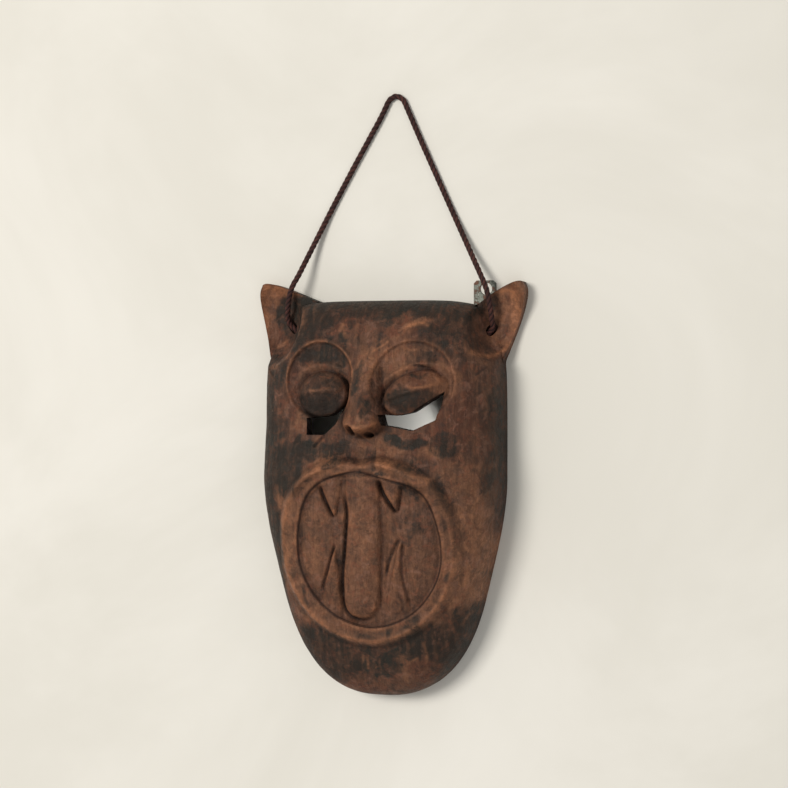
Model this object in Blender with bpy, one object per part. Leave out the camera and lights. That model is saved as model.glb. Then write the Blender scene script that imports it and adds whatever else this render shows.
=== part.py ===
"""A carved wooden demon mask with its hanging plate and cord, lying face up.

Metres. X runs across the face, Y from the chin up to the ears and Z out of the
face. The flat back rim lies on z = 0.

The face is drawn on a chart: `a` is a place across in shares of the half width
of the body, `b` a place up in shares of half the mask's height, both from the
middle of the face, and relief is in shares of the face's depth.
"""
import bmesh
import bpy
import numpy as np
from mathutils import Vector

# Body of the mask
MASK_HEIGHT = 0.327
BODY_WIDTH = 0.192
FACE_DEPTH = 0.072
CROWN_HEIGHT = 0.149
WIDEST_HEIGHT = 0.010
SIDE_WALL = 0.013
FRONT_WALL = 0.013

# Ears: how far each tip stands out from the body's corner, and the lobe
EAR_RISE = 0.0285
LEFT_EAR_REACH = 0.0175
RIGHT_EAR_REACH = 0.0255
EAR_TOP_RUN = 0.030
EAR_SIDE_RUN = 0.029
RIGHT_EAR_STEP = 0.012
EAR_TIP_ROUND = 0.006
EAR_THICKNESS = 0.0155
EAR_HOLLOW = 0.0085

# Hanging cord, its holes and its knots
CORD_DIAMETER = 0.0045
CORD_HOLE_PLAY = 0.0032
KNOT_DIAMETER = 0.011
KNOT_PLAY = 0.0010
LEFT_HOLE = (-0.0800, 0.1305, 0.0105)
RIGHT_HOLE = (0.0860, 0.1257, 0.0105)
GAP = 0.0003

# Sheet metal hanging plate
PLATE_WIDTH = 0.018
PLATE_LENGTH = 0.030
PLATE_THICKNESS = 0.0012
PLATE_HOLE = 0.0095
PLATE_HOLE_ASIDE = 0.001
PLATE_HOLE_DOWN = 0.0065
PLATE_CLIP = 0.0022
PLATE_FROM_SIDE = 0.018
PLATE_STANDS_OUT = 0.0155

# Shares of the chart that the carving keeps. Eyes and brows: middle across and up, half width, half height
LEFT_EYE = (-0.377, 0.458, 0.217, 0.108)
RIGHT_EYE = (0.392, 0.460, 0.262, 0.106)
LEFT_BROW = (-0.407, 0.525, 0.292, 0.183)
RIGHT_BROW = (0.370, 0.515, 0.335, 0.195)
LEFT_EYE_LEAN = 0.0
RIGHT_EYE_LEAN = 0.12
LEFT_LID = ((-0.511, 0.345), (-0.507, 0.265), (-0.351, 0.266), (-0.259, 0.317), (-0.186, 0.402))
LEFT_UNDER_EYE = ((-0.225, 0.385), (-0.314, 0.356), (-0.420, 0.350))
RIGHT_LID = ((0.115, 0.362), (0.140, 0.312), (0.371, 0.286), (0.558, 0.337), (0.593, 0.395), (0.628, 0.471))
RIGHT_UNDER_EYE = ((0.491, 0.418), (0.371, 0.372), (0.250, 0.357))
OPENING_SPAN = (0.3 * FACE_DEPTH, 1.6 * FACE_DEPTH)
MIDLINE = -0.02
NOSE_TIP_UP = 0.285
MOUTH_UP = -0.292
MOUTH_SIZE = (0.724, 0.435, 0.425)
TONGUE_END = -0.510

# Mesh resolution
OUTER_CELLS = 190
INNER_CELLS = 44
MASK_TRIANGLES = 7500

HALF_WIDTH = BODY_WIDTH / 2
HALF_HEIGHT = MASK_HEIGHT / 2
CHIN = -HALF_HEIGHT
PLATE_ACROSS = HALF_WIDTH - PLATE_FROM_SIDE


def rise(start, end, value):
    """Smooth step from 0 at start to 1 at end; start may be the larger one."""
    share = np.clip((value - start) / (end - start), 0.0, 1.0)
    return share * share * (3.0 - 2.0 * share)


def soft_max(first, second, blend):
    """The larger of two heights, rounded over where they meet."""
    return 0.5 * (first + second + np.sqrt((first - second) ** 2 + blend ** 2))


def soft_min(first, second, blend):
    """The smaller of two heights, rounded over where they meet."""
    return -soft_max(-first, -second, blend)


def power_round(share, power):
    """Superellipse quarter: 1 at share 0, falling upright to 0 at share 1."""
    inside = np.clip(1.0 - np.abs(share) ** power, 0.0, 1.0)
    return inside ** (1.0 / power)


def end_share(y, inset):
    """How far y lies from the widest level towards the crown or the chin, 0 to 1."""
    up = (y - WIDEST_HEIGHT) / (CROWN_HEIGHT - inset - WIDEST_HEIGHT)
    down = (WIDEST_HEIGHT - y) / (WIDEST_HEIGHT - CHIN - inset)
    return np.where(y >= WIDEST_HEIGHT, up, down)


def taper(share, lower):
    """The sides draw in a little below the widest level."""
    return np.where(lower, 1.0 - 0.085 * rise(0.0, 0.55, share), 1.0)


def corner_power(inset):
    """The crown's corners are nearly square outside, and rounder in the hollow behind the ears."""
    return 6.0 if inset == 0.0 else 3.2


def half_width_at(y, inset):
    """Half the body's width at height y, for the outside or an inset outline."""
    share = end_share(y, inset)
    lower = y < WIDEST_HEIGHT
    power = np.where(lower, 2.5, corner_power(inset))
    return (HALF_WIDTH - inset) * power_round(share, power) * taper(share, lower)


def face_level(y):
    """Depth of the face at its middle: flat brow, full lips, receding chin."""
    b = y / HALF_HEIGHT
    lips = 0.15 * rise(0.33, 0.06, b)
    chin = 0.30 * (soft_max((0.02 - b) / 0.82, 0.0, 0.14) - 0.005)
    return FACE_DEPTH * (0.92 + lips - chin)


def dome(x, y, level, inset):
    """Smooth shell: rounded square sections across and along, upright at the rim."""
    across = np.abs(x) / np.maximum(half_width_at(y, inset), 1e-6)
    return level * power_round(end_share(y, inset), 4.0) * power_round(across, 3.3)


def outline(angle, inset):
    """Body outline point for a chart angle, equal steps in angle about the middle."""
    cosine = np.abs(np.cos(angle))
    sine = np.abs(np.sin(angle))
    lower = np.sin(angle) < 0.0
    power = np.where(lower, 2.5, corner_power(inset))
    length = (cosine ** power + sine ** power) ** (-1.0 / power)
    share = sine * length
    reach = np.where(lower, WIDEST_HEIGHT - CHIN - inset, CROWN_HEIGHT - inset - WIDEST_HEIGHT)
    x = np.sign(np.cos(angle)) * (HALF_WIDTH - inset) * cosine * length * taper(share, lower)
    y = WIDEST_HEIGHT + np.where(lower, -1.0, 1.0) * reach * share
    return x, y


def ear_offset(x, y):
    """How far the outline point (x, y) is drawn out into the ear beside it.

    The left ear slopes gently off the crown. The right one starts with a step.
    """
    corner_x, corner_y = outline(np.pi / 4.0, 0.0)
    distance = np.hypot(np.abs(x) - corner_x, y - corner_y)
    eased = np.sqrt(distance ** 2 + EAR_TIP_ROUND ** 2) - EAR_TIP_ROUND
    slope = np.clip(1.0 - eased / EAR_TOP_RUN, 0.0, 1.0)
    side = 1.0 - (eased / EAR_SIDE_RUN) ** 1.3
    side = np.clip(soft_max(side, 0.0, 0.06) - 0.015, 0.0, 1.0)
    along_top = np.abs(x) < corner_x
    step = np.clip(1.0 - eased / RIGHT_EAR_STEP, 0.0, 1.0)
    out = np.where(along_top, np.where(x < 0.0, slope ** 1.3, slope ** 4), side)
    up = np.where(along_top, np.where(x < 0.0, slope ** 1.3, step), side)
    upper = y > 0.0
    out = np.where(upper, out, 0.0)
    up = np.where(upper, up, 0.0)
    reach = np.where(x < 0.0, -LEFT_EAR_REACH, RIGHT_EAR_REACH)
    return out * reach, up * EAR_RISE, np.maximum(out, up)


def ear_hollow(x, y):
    """Floor of the scoop in each ear, rising steeply towards its edges."""
    corner_x, corner_y = outline(np.pi / 4.0, 0.0)
    reach = np.where(x < 0.0, LEFT_EAR_REACH, RIGHT_EAR_REACH)
    across = (np.abs(x) - corner_x - 0.36 * reach) / (0.0135 + 0.17 * reach)
    across = across * np.where(across < 0.0, np.where(x < 0.0, 0.76, 1.10), 1.0)
    along = (y - corner_y - 0.07 * EAR_RISE) / 0.0275
    return EAR_THICKNESS - EAR_HOLLOW + EAR_HOLLOW * (across ** 2 + along ** 2) ** 2


def ring_shares(steps):
    """Shares of the radius at equal steps along a section, from middle to rim."""
    share = np.linspace(0.0, 1.0, 4001)
    height = 0.55 * power_round(share, 4.0)
    length = np.concatenate(([0.0], np.cumsum(np.hypot(np.diff(share), np.diff(height)))))
    return np.interp(np.asarray(steps) * length[-1], length, share)


def disc_chart(cells):
    """A square grid laid on a disc: ring (0 to 1) and angle of every grid point."""
    side = np.linspace(-1.0, 1.0, cells + 1)
    across, up = np.meshgrid(side, side)
    disc_x = across * np.sqrt(1.0 - up ** 2 / 2.0)
    disc_y = up * np.sqrt(1.0 - across ** 2 / 2.0)
    ring = np.minimum(np.hypot(disc_x, disc_y), 1.0)
    return ring, np.arctan2(disc_y, disc_x)


def mouth_radius(a, b):
    """Distance from the middle of the mouth, 1 on the lips' outer edge."""
    up = b - MOUTH_UP
    upper = up > 0.0
    height = np.where(upper, MOUTH_SIZE[1], MOUTH_SIZE[2])
    power = np.where(upper, 2.5, 1.9)
    bow = 0.05 * np.exp(-((a - MIDLINE) / 0.07) ** 2) * rise(0.25, 0.40, up)
    return ((np.abs(a) / MOUTH_SIZE[0]) ** power + (np.abs(up) / height) ** power) ** (1.0 / power) + bow


def mouth_line(a, b):
    """Distance inwards from the line where the lips meet the mouth, in shares of the mouth."""
    return 0.815 + 0.06 * rise(-0.15, 0.06, b) - mouth_radius(a - 0.02, b)


def lips_relief(a, b):
    """A raised band of lip round the shallow floor of the mouth."""
    radius = mouth_radius(a, b)
    band = 0.078 * rise(1.08, 0.98, radius) - 0.022 * rise(0.98, 0.86, radius)
    return band - 0.066 * rise(-0.02, 0.04, mouth_line(a, b))


def tongue_relief(a, b):
    """Long tongue that hangs down the mouth, a little to one side."""
    axis = MIDLINE + 0.02 + 0.13 * np.clip(b + 0.10, -0.40, 0.0)
    beyond = np.clip((TONGUE_END - b) / 0.095, 0.0, 2.0)
    width = 0.143 + 0.014 * rise(-0.15, -0.40, b)
    radius = np.hypot((a - axis) / width, beyond)
    rounded = np.clip(1.0 - radius ** 3.0, 0.0, 1.0) ** 0.55
    return 0.058 * rounded * rise(-0.01, 0.04, mouth_line(a, b))


def fang(a, b, tip, base, base_width, height):
    """One pointed tooth from its tip to its base, both chart points."""
    along = (b - tip[1]) / (base[1] - tip[1])
    axis = tip[0] + (base[0] - tip[0]) * along
    width = base_width * np.clip(along, 0.0, 1.3) ** 0.8 + 1e-4
    body = np.clip(1.0 - np.abs((a - axis) / width) ** 2.2, 0.0, 1.0) ** 0.7
    return height * body * rise(0.0, 0.15, along) * rise(1.25, 1.05, along)


def fangs_relief(a, b):
    """Two short fangs from above and two tall ones from below, beside the tongue."""
    teeth = fang(a, b, (-0.244, -0.125), (-0.268, 0.035), 0.092, 0.050)
    teeth = np.maximum(teeth, fang(a, b, (0.274, -0.097), (0.225, 0.050), 0.094, 0.052))
    teeth = np.maximum(teeth, fang(a, b, (-0.254, -0.255), (-0.328, -0.60), 0.108, 0.042))
    teeth = np.maximum(teeth, fang(a, b, (0.294, -0.215), (0.236, -0.60), 0.112, 0.044))
    return teeth * rise(-0.01, 0.03, mouth_line(a, b))


def mouth_cheek_relief(a, b):
    """Full pads between the fangs and the lips."""
    left = 1.0 - ((a + 0.43) / 0.17) ** 2 - ((b + 0.22) / 0.25) ** 2
    right = 1.0 - ((a - 0.46) / 0.16) ** 2 - ((b + 0.31) / 0.24) ** 2
    return 0.034 * np.clip(left, 0.0, 1.0) ** 0.8 + 0.034 * np.clip(right, 0.0, 1.0) ** 0.8


def eye_relief(a, b, eye, brow, lean):
    """Round brow ring, sunken socket and bulging eye on one side."""
    from_brow = np.hypot((a - brow[0]) / brow[2], (b - brow[1]) / brow[3])
    socket = -0.052 * rise(1.0, 0.80, from_brow)
    ridge = 0.030 * np.exp(-((from_brow - 1.0) / 0.09) ** 2) * rise(brow[1] - 0.10, brow[1] + 0.02, b)
    up = b - eye[1] - lean * (a - eye[0])
    ball = np.hypot((a - eye[0]) / eye[2], up / eye[3])
    bulge = 0.170 * np.clip(1.0 - ball ** 2, 0.0, 1.0) ** 0.55
    crease = 0.014 * rise(0.012, -0.012, up - 0.018) * rise(1.0, 0.75, ball)
    return socket + ridge + bulge - crease


def nose_relief(a, b):
    """Wedge nose that grows down to a blunt tip, cut off below along a curve, with two nostrils."""
    across = a - MIDLINE
    down = np.clip((0.70 - b) / (0.70 - NOSE_TIP_UP), 0.0, 1.2)
    width = 0.115 + 0.080 * down ** 1.4
    foot = NOSE_TIP_UP + 0.040 * np.minimum((across / 0.165) ** 2, 1.5)
    height = 0.31 * down ** 1.15 * rise(foot - 0.040, foot + 0.018, b)
    bridge = height * np.clip(1.0 - np.abs(across / width) ** 1.9, 0.0, 1.0)
    wings = np.hypot((np.abs(across) - 0.115) / 0.075, (b - NOSE_TIP_UP - 0.030) / 0.05)
    nostril = np.hypot((np.abs(across + 0.005) - 0.084) / 0.040, (b - NOSE_TIP_UP + 0.006) / 0.022)
    return bridge + 0.10 * rise(1.0, 0.2, wings) - 0.11 * rise(1.0, 0.3, nostril)


def carving(x, y):
    """All the relief of the face at (x, y), in metres."""
    a = x / HALF_WIDTH
    b = y / HALF_HEIGHT
    mouth = lips_relief(a, b) + np.maximum(tongue_relief(a, b), fangs_relief(a, b)) + mouth_cheek_relief(a, b)
    left_eye = eye_relief(a, b, LEFT_EYE, LEFT_BROW, LEFT_EYE_LEAN)
    right_eye = eye_relief(a, b, RIGHT_EYE, RIGHT_BROW, RIGHT_EYE_LEAN)
    return FACE_DEPTH * (mouth + left_eye + right_eye + nose_relief(a, b))


def outer_surface(ring, angle):
    """Points of the carved outside for chart rings and angles."""
    body_x, body_y = outline(angle, 0.0)
    share = ring_shares(ring)
    ear_x, ear_y, pull = ear_offset(body_x, body_y)
    lobe = rise(0.70, 0.955, ring)
    x = share * body_x + lobe * ear_x
    y = WIDEST_HEIGHT + share * (body_y - WIDEST_HEIGHT) + lobe * ear_y
    head = dome(x, y, face_level(y), 0.0)
    edge = 1.0 - rise(0.955, 1.0, ring) ** 2
    lobe_top = EAR_THICKNESS * edge
    front = rise(0.35, 0.80, head / face_level(y))
    z = head + front * carving(x, y)
    near_ear = rise(0.0, 0.04, pull) * rise(0.55, 0.75, ring)
    root = 0.010 * edge
    z = z + near_ear * (soft_max(z, lobe_top, root) - root / 4 - z)
    scoop = soft_min(z, ear_hollow(x, y), 0.007) + 0.0014
    z = np.where(y > WIDEST_HEIGHT, z + rise(1.0, 0.975, ring) * (np.minimum(scoop, z) - z), z)
    return x, y, np.where(ring >= 1.0 - 1e-9, 0.0, np.maximum(z, 0.0))


def inner_surface(ring, angle):
    """Points of the smooth hollow behind the face, for chart rings and angles."""
    body_x, body_y = outline(angle, SIDE_WALL)
    share = ring_shares(ring)
    x = share * body_x
    y = WIDEST_HEIGHT + share * (body_y - WIDEST_HEIGHT)
    behind_mouth = 0.135 * FACE_DEPTH * rise(0.16, -0.02, y / HALF_HEIGHT)
    z = dome(x, y, face_level(y) - FRONT_WALL - behind_mouth, SIDE_WALL)
    return x, y, np.where(ring >= 1.0 - 1e-9, 0.0, z)


def add_sheet(mesh, points, cells, flip):
    """Add a square sheet of quads to a bmesh and return the loop of its border edges."""
    verts = [mesh.verts.new(place) for place in np.stack([part.ravel() for part in points], axis=1)]
    row = cells + 1
    for up in range(cells):
        for across in range(cells):
            corner = up * row + across
            ring = [verts[corner], verts[corner + 1], verts[corner + row + 1], verts[corner + row]]
            mesh.faces.new(ring[::-1] if flip else ring)
    sheet = set(verts)
    return [edge for edge in mesh.edges if edge.is_boundary and edge.verts[0] in sheet]


def add_object(name, mesh, collection, material=None):
    """Make a bmesh into a named object of a collection."""
    data = bpy.data.meshes.new(name)
    mesh.to_mesh(data)
    mesh.free()
    made = bpy.data.objects.new(name, data)
    collection.objects.link(made)
    if material:
        data.materials.append(material)
    return made


def make_material(name, colour, roughness, metallic=0.0):
    """A Principled material with plain values."""
    material = bpy.data.materials.new(name)
    material.use_nodes = True
    shader = material.node_tree.nodes["Principled BSDF"]
    shader.inputs["Base Color"].default_value = (*colour, 1.0)
    shader.inputs["Roughness"].default_value = roughness
    shader.inputs["Metallic"].default_value = metallic
    return material


def prism(name, points, low, high, collection):
    """Upright prism over a flat outline."""
    mesh = bmesh.new()
    base = mesh.faces.new([mesh.verts.new((x, y, low)) for x, y in points])
    grown = bmesh.ops.extrude_face_region(mesh, geom=[base])["geom"]
    top = [item for item in grown if isinstance(item, bmesh.types.BMVert)]
    bmesh.ops.translate(mesh, verts=top, vec=(0.0, 0.0, high - low))
    bmesh.ops.recalc_face_normals(mesh, faces=mesh.faces)
    return add_object(name, mesh, collection)


def eye_opening_outline(side):
    """Straight knife cuts along the lower lid, then back under the eyeball."""
    corners = LEFT_LID + LEFT_UNDER_EYE if side < 0 else RIGHT_LID + RIGHT_UNDER_EYE
    return [(a * HALF_WIDTH, b * HALF_HEIGHT) for a, b in corners]


def cut(target, cutter):
    """Take a hidden cutter out of a piece."""
    cutter.hide_render = True
    cutter.display_type = "WIRE"
    modifier = target.modifiers.new(f"cut {cutter.name}", "BOOLEAN")
    modifier.operation = "DIFFERENCE"
    modifier.object = cutter


def rod(name, start, end, diameter, collection):
    """Straight round cutter between two points."""
    mesh = bmesh.new()
    axis = Vector(end) - Vector(start)
    bmesh.ops.create_cone(
        mesh, cap_ends=True, segments=16, radius1=diameter / 2, radius2=diameter / 2, depth=axis.length
    )
    turn = axis.to_track_quat("Z", "Y").to_matrix()
    bmesh.ops.rotate(mesh, verts=mesh.verts, matrix=turn)
    bmesh.ops.translate(mesh, verts=mesh.verts, vec=(Vector(start) + Vector(end)) / 2)
    return add_object(name, mesh, collection)


def hole_line(side):
    """Outer mouth of a cord hole in its ear, and the unit direction into the hollow."""
    place = LEFT_HOLE if side < 0 else RIGHT_HOLE
    return Vector(place), Vector((-side * 0.74, -0.66, -0.10)).normalized()


def knot_depth(side):
    """How far along its hole's line a knot first lies clear of the wall, in the hollow."""
    mouth, inward = hole_line(side)
    turn = np.linspace(0.0, 2.0 * np.pi, 33)
    radius = KNOT_DIAMETER / 2 + KNOT_PLAY
    for depth in np.arange(0.0, HALF_WIDTH, KNOT_PLAY / 4):
        centre = mouth + inward * depth
        reach = np.abs(centre.x + radius * np.cos(turn))
        if np.all(reach < half_width_at(centre.y + radius * np.sin(turn), SIDE_WALL)):
            break
    return depth


def knot_centre(side):
    """A knot sits in the hollow, beside the inner end of its hole."""
    mouth, inward = hole_line(side)
    return mouth + inward * knot_depth(side)


def build_mask(parts, cutters, wood):
    """One closed carved shell: outside, hollow and the flat rim between them."""
    mesh = bmesh.new()
    outer_edges = add_sheet(mesh, outer_surface(*disc_chart(OUTER_CELLS)), OUTER_CELLS, False)
    inner_edges = add_sheet(mesh, inner_surface(*disc_chart(INNER_CELLS)), INNER_CELLS, True)
    bmesh.ops.triangle_fill(mesh, use_beauty=True, edges=outer_edges + inner_edges)
    bmesh.ops.triangulate(mesh, faces=mesh.faces)
    bmesh.ops.recalc_face_normals(mesh, faces=mesh.faces)
    full_count = len(mesh.faces)
    mask = add_object("mask", mesh, parts, wood)
    thin = mask.modifiers.new("fewer faces", "DECIMATE")
    thin.ratio = MASK_TRIANGLES / full_count

    for side, name in ((-1, "left"), (1, "right")):
        opening = prism(f"{name} eye opening", eye_opening_outline(side), *OPENING_SPAN, cutters)
        cut(mask, opening)
        mouth, inward = hole_line(side)
        hole = CORD_DIAMETER + CORD_HOLE_PLAY
        outside = mouth - inward * hole
        cut(mask, rod(f"{name} cord hole", outside, knot_centre(side), hole, cutters))
    return mask


def plate_outline(grow):
    """Plate outline with clipped upper corners, grown by a clearance all round."""
    half = PLATE_WIDTH / 2 + grow
    top = CROWN_HEIGHT + PLATE_STANDS_OUT + grow
    bottom = CROWN_HEIGHT + PLATE_STANDS_OUT - PLATE_LENGTH - grow
    corners = [(-half, bottom), (half, bottom), (half, top - PLATE_CLIP), (half - PLATE_CLIP, top)]
    corners += [(PLATE_CLIP - half, top), (-half, top - PLATE_CLIP)]
    return [(PLATE_ACROSS + x, y) for x, y in corners]


def build_plate(parts, cutters, mask, metal):
    """Flat plate with one round hole, let into the back of the rim."""
    plate = prism("hanger_plate", plate_outline(0.0), 0.0, PLATE_THICKNESS, parts)
    plate.data.materials.append(metal)
    middle = (PLATE_ACROSS + PLATE_HOLE_ASIDE, CROWN_HEIGHT + PLATE_STANDS_OUT - PLATE_HOLE_DOWN)
    below = (*middle, -PLATE_THICKNESS)
    above = (*middle, 2 * PLATE_THICKNESS)
    cut(plate, rod("plate hole", below, above, PLATE_HOLE, cutters))
    cut(mask, prism("plate recess", plate_outline(GAP), -0.001, PLATE_THICKNESS + GAP, cutters))


def cord_route():
    """Places the cord passes, chosen by hand, from the left hole to the right one."""
    return [
        (-0.0814, 0.1372, 0.0140),
        (-0.0802, 0.1450, 0.0172),
        (-0.0786, 0.1530, 0.0186),
        (-0.0760, 0.1615, 0.0181),
        (-0.0714, 0.1712, 0.0152),
        (-0.0661, 0.1843, 0.0105),
        (-0.0600, 0.1986, 0.0062),
        (-0.0530, 0.2136, 0.0034),
        (-0.0449, 0.2292, 0.0024),
        (-0.0294, 0.2569, 0.0024),
        (-0.0160, 0.2801, 0.0024),
        (-0.0068, 0.2961, 0.0024),
        (-0.0028, 0.3040, 0.0024),
        (0.0005, 0.3098, 0.0024),
        (0.0060, 0.3125, 0.0024),
        (0.0115, 0.3095, 0.0024),
        (0.0145, 0.3035, 0.0024),
        (0.0182, 0.2951, 0.0024),
        (0.0254, 0.2785, 0.0024),
        (0.0361, 0.2547, 0.0024),
        (0.0488, 0.2266, 0.0024),
        (0.0561, 0.2109, 0.0034),
        (0.0637, 0.1954, 0.0062),
        (0.0708, 0.1816, 0.0105),
        (0.0775, 0.1689, 0.0152),
        (0.0826, 0.1583, 0.0181),
        (0.0851, 0.1489, 0.0186),
        (0.0862, 0.1405, 0.0172),
        (0.0865, 0.1325, 0.0140),
    ]


def smooth_path(points, step):
    """Points at equal steps along a smooth curve through the given points."""
    places = np.array(points)
    before = np.vstack([2 * places[0] - places[1], places, 2 * places[-1] - places[-2]])
    share = np.linspace(0.0, 1.0, 24, endpoint=False)[:, None]
    fine = []
    for a, b, c, d in zip(before, before[1:], before[2:], before[3:]):
        slope_in = (c - a) / 2
        slope_out = (d - b) / 2
        cubic = b + slope_in * share + (3 * (c - b) - 2 * slope_in - slope_out) * share ** 2
        fine.append(cubic + (2 * (b - c) + slope_in + slope_out) * share ** 3)
    fine = np.vstack(fine + [places[-1:]])
    length = np.concatenate(([0.0], np.cumsum(np.linalg.norm(np.diff(fine, axis=0), axis=1))))
    marks = np.linspace(0.0, length[-1], round(length[-1] / step) + 1)
    return np.stack([np.interp(marks, length, fine[:, axis]) for axis in range(3)], axis=1)


def cord_points():
    """The cord's centre line: out of the left knot, through both holes, into the right knot."""
    ends = []
    for side in (-1, 1):
        mouth, inward = hole_line(side)
        start = knot_depth(side) - KNOT_DIAMETER / 2 - GAP
        ends.append([tuple(mouth + inward * depth) for depth in (start, start / 2, 0.0)])
    return smooth_path(ends[0] + cord_route() + ends[1][::-1], 2.0 * CORD_DIAMETER)


def build_cord(parts, fibre):
    """The cord as a tube along its route, and the knot at each end."""
    route = cord_points()
    curve = bpy.data.curves.new("hanging_cord", "CURVE")
    curve.dimensions = "3D"
    curve.bevel_depth = CORD_DIAMETER / 2
    curve.bevel_resolution = 2
    curve.use_fill_caps = True
    line = curve.splines.new("POLY")
    line.points.add(len(route) - 1)
    for point, place in zip(line.points, route):
        point.co = (*place, 1.0)
    curve.materials.append(fibre)
    cord = bpy.data.objects.new("hanging_cord", curve)
    parts.objects.link(cord)
    for side, name in ((-1, "left"), (1, "right")):
        mesh = bmesh.new()
        bmesh.ops.create_uvsphere(mesh, u_segments=12, v_segments=8, radius=KNOT_DIAMETER / 2)
        bmesh.ops.translate(mesh, verts=mesh.verts, vec=knot_centre(side))
        add_object(f"cord_knot_{name}", mesh, parts, fibre)


def centre_on_mask(mask, pieces):
    """Hang every piece on one empty, moved so that the mask is centred on the origin."""
    across = [corner[0] for corner in mask.bound_box]
    up = [corner[1] for corner in mask.bound_box]
    frame = bpy.data.objects.new("mask_frame", None)
    bpy.context.scene.collection.objects.link(frame)
    for piece in pieces:
        piece.parent = frame
    frame.location = (-(min(across) + max(across)) / 2, -(min(up) + max(up)) / 2, 0.0)


def main():
    """Clear the file and build every piece."""
    for old in list(bpy.data.objects):
        bpy.data.objects.remove(old)
    scene = bpy.context.scene
    parts = bpy.data.collections.new("carved wooden mask")
    cutters = bpy.data.collections.new("cutters")
    scene.collection.children.link(parts)
    scene.collection.children.link(cutters)
    wood = make_material("dark carved wood", (0.115, 0.062, 0.040), 0.55)
    metal = make_material("rusty sheet metal", (0.09, 0.09, 0.07), 0.5, 0.8)
    fibre = make_material("dark red cord", (0.045, 0.017, 0.014), 0.8)
    mask = build_mask(parts, cutters, wood)
    build_plate(parts, cutters, mask, metal)
    build_cord(parts, fibre)
    centre_on_mask(mask, [*parts.objects, *cutters.objects])


main()
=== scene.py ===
"""The finish of a carved wooden demon mask that lies face up, with its plate and cord.

Metres, in the frame of the solids: X runs across the face, Y from the chin up
to the ears and Z out of the face. The face is drawn on a chart, where `a` is a
place across in shares of the body's half width and `b` a place up in shares of
the mask's half height, both from the middle of the face.
"""
import math

import bpy
import numpy as np
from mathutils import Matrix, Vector


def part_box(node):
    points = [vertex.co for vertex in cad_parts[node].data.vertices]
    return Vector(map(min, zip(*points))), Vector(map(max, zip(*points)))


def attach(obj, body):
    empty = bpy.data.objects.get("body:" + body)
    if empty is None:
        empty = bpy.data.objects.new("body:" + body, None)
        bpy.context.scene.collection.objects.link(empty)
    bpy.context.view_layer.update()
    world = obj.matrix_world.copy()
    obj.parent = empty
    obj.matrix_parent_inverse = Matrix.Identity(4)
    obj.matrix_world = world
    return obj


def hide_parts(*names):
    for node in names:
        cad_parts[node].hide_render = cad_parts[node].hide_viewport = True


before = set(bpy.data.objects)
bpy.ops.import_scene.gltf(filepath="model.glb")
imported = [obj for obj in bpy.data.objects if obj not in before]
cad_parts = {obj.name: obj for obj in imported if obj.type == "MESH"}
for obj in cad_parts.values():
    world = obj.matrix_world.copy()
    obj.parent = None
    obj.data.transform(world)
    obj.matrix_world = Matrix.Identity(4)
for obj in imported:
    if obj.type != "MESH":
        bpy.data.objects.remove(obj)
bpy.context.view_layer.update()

# Body of the mask, as in its solid
MASK_HEIGHT = 0.327
BODY_WIDTH = 0.192
FACE_DEPTH = 0.072
CROWN_HEIGHT = 0.149
WIDEST_HEIGHT = 0.010
SIDE_WALL = 0.013
FRONT_WALL = 0.013
HALF_WIDTH = BODY_WIDTH / 2
HALF_HEIGHT = MASK_HEIGHT / 2
CHIN = -HALF_HEIGHT

# How square the outline and the sections are, as powers of a rounded square, and how far the sides draw in
CROWN_POWER = 6.0
HOLLOW_CROWN_POWER = 3.2
CHIN_POWER = 2.5
SECTION_POWER = 4.0
CROSS_POWER = 3.3
CHEEK_TAPER = 0.085

# Ears
EAR_RISE = 0.0285
LEFT_EAR_REACH = 0.0175
RIGHT_EAR_REACH = 0.0255
EAR_TOP_RUN = 0.030
EAR_SIDE_RUN = 0.029
RIGHT_EAR_STEP = 0.012
EAR_TIP_ROUND = 0.006
EAR_THICKNESS = 0.0155
EAR_HOLLOW = 0.0085
EAR_LOBE_START = 0.70
EAR_LOBE_END = 0.955

# Hanging cord, its holes and its knots
CORD_DIAMETER = 0.0045
CORD_PITCH = 0.0135
CORD_HOLE_PLAY = 0.0032
KNOT_DIAMETER = 0.011
KNOT_PLAY = 0.0010
KNOT_CORD = 0.0038
KNOT_PITCH = 0.0120
KNOT_SLACK = 0.0002
STRANDS = 3
HOLE_SLANT = (-0.74, -0.66, -0.10)
LEFT_HOLE = (-0.0800, 0.1305, 0.0105)
RIGHT_HOLE = (0.0860, 0.1257, 0.0105)
GAP = 0.0003

# Sheet metal hanging plate
PLATE_WIDTH = 0.018
PLATE_LENGTH = 0.030
PLATE_THICKNESS = 0.0012
PLATE_HOLE = 0.0095
PLATE_FROM_SIDE = 0.018
PLATE_STANDS_OUT = 0.0155
PLATE_CLIP = 0.0022
PLATE_EDGE = 0.0004
PLATE_HOLE_ASIDE = 0.001
PLATE_HOLE_DOWN = 0.0065
PLATE_ACROSS = HALF_WIDTH - PLATE_FROM_SIDE

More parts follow.
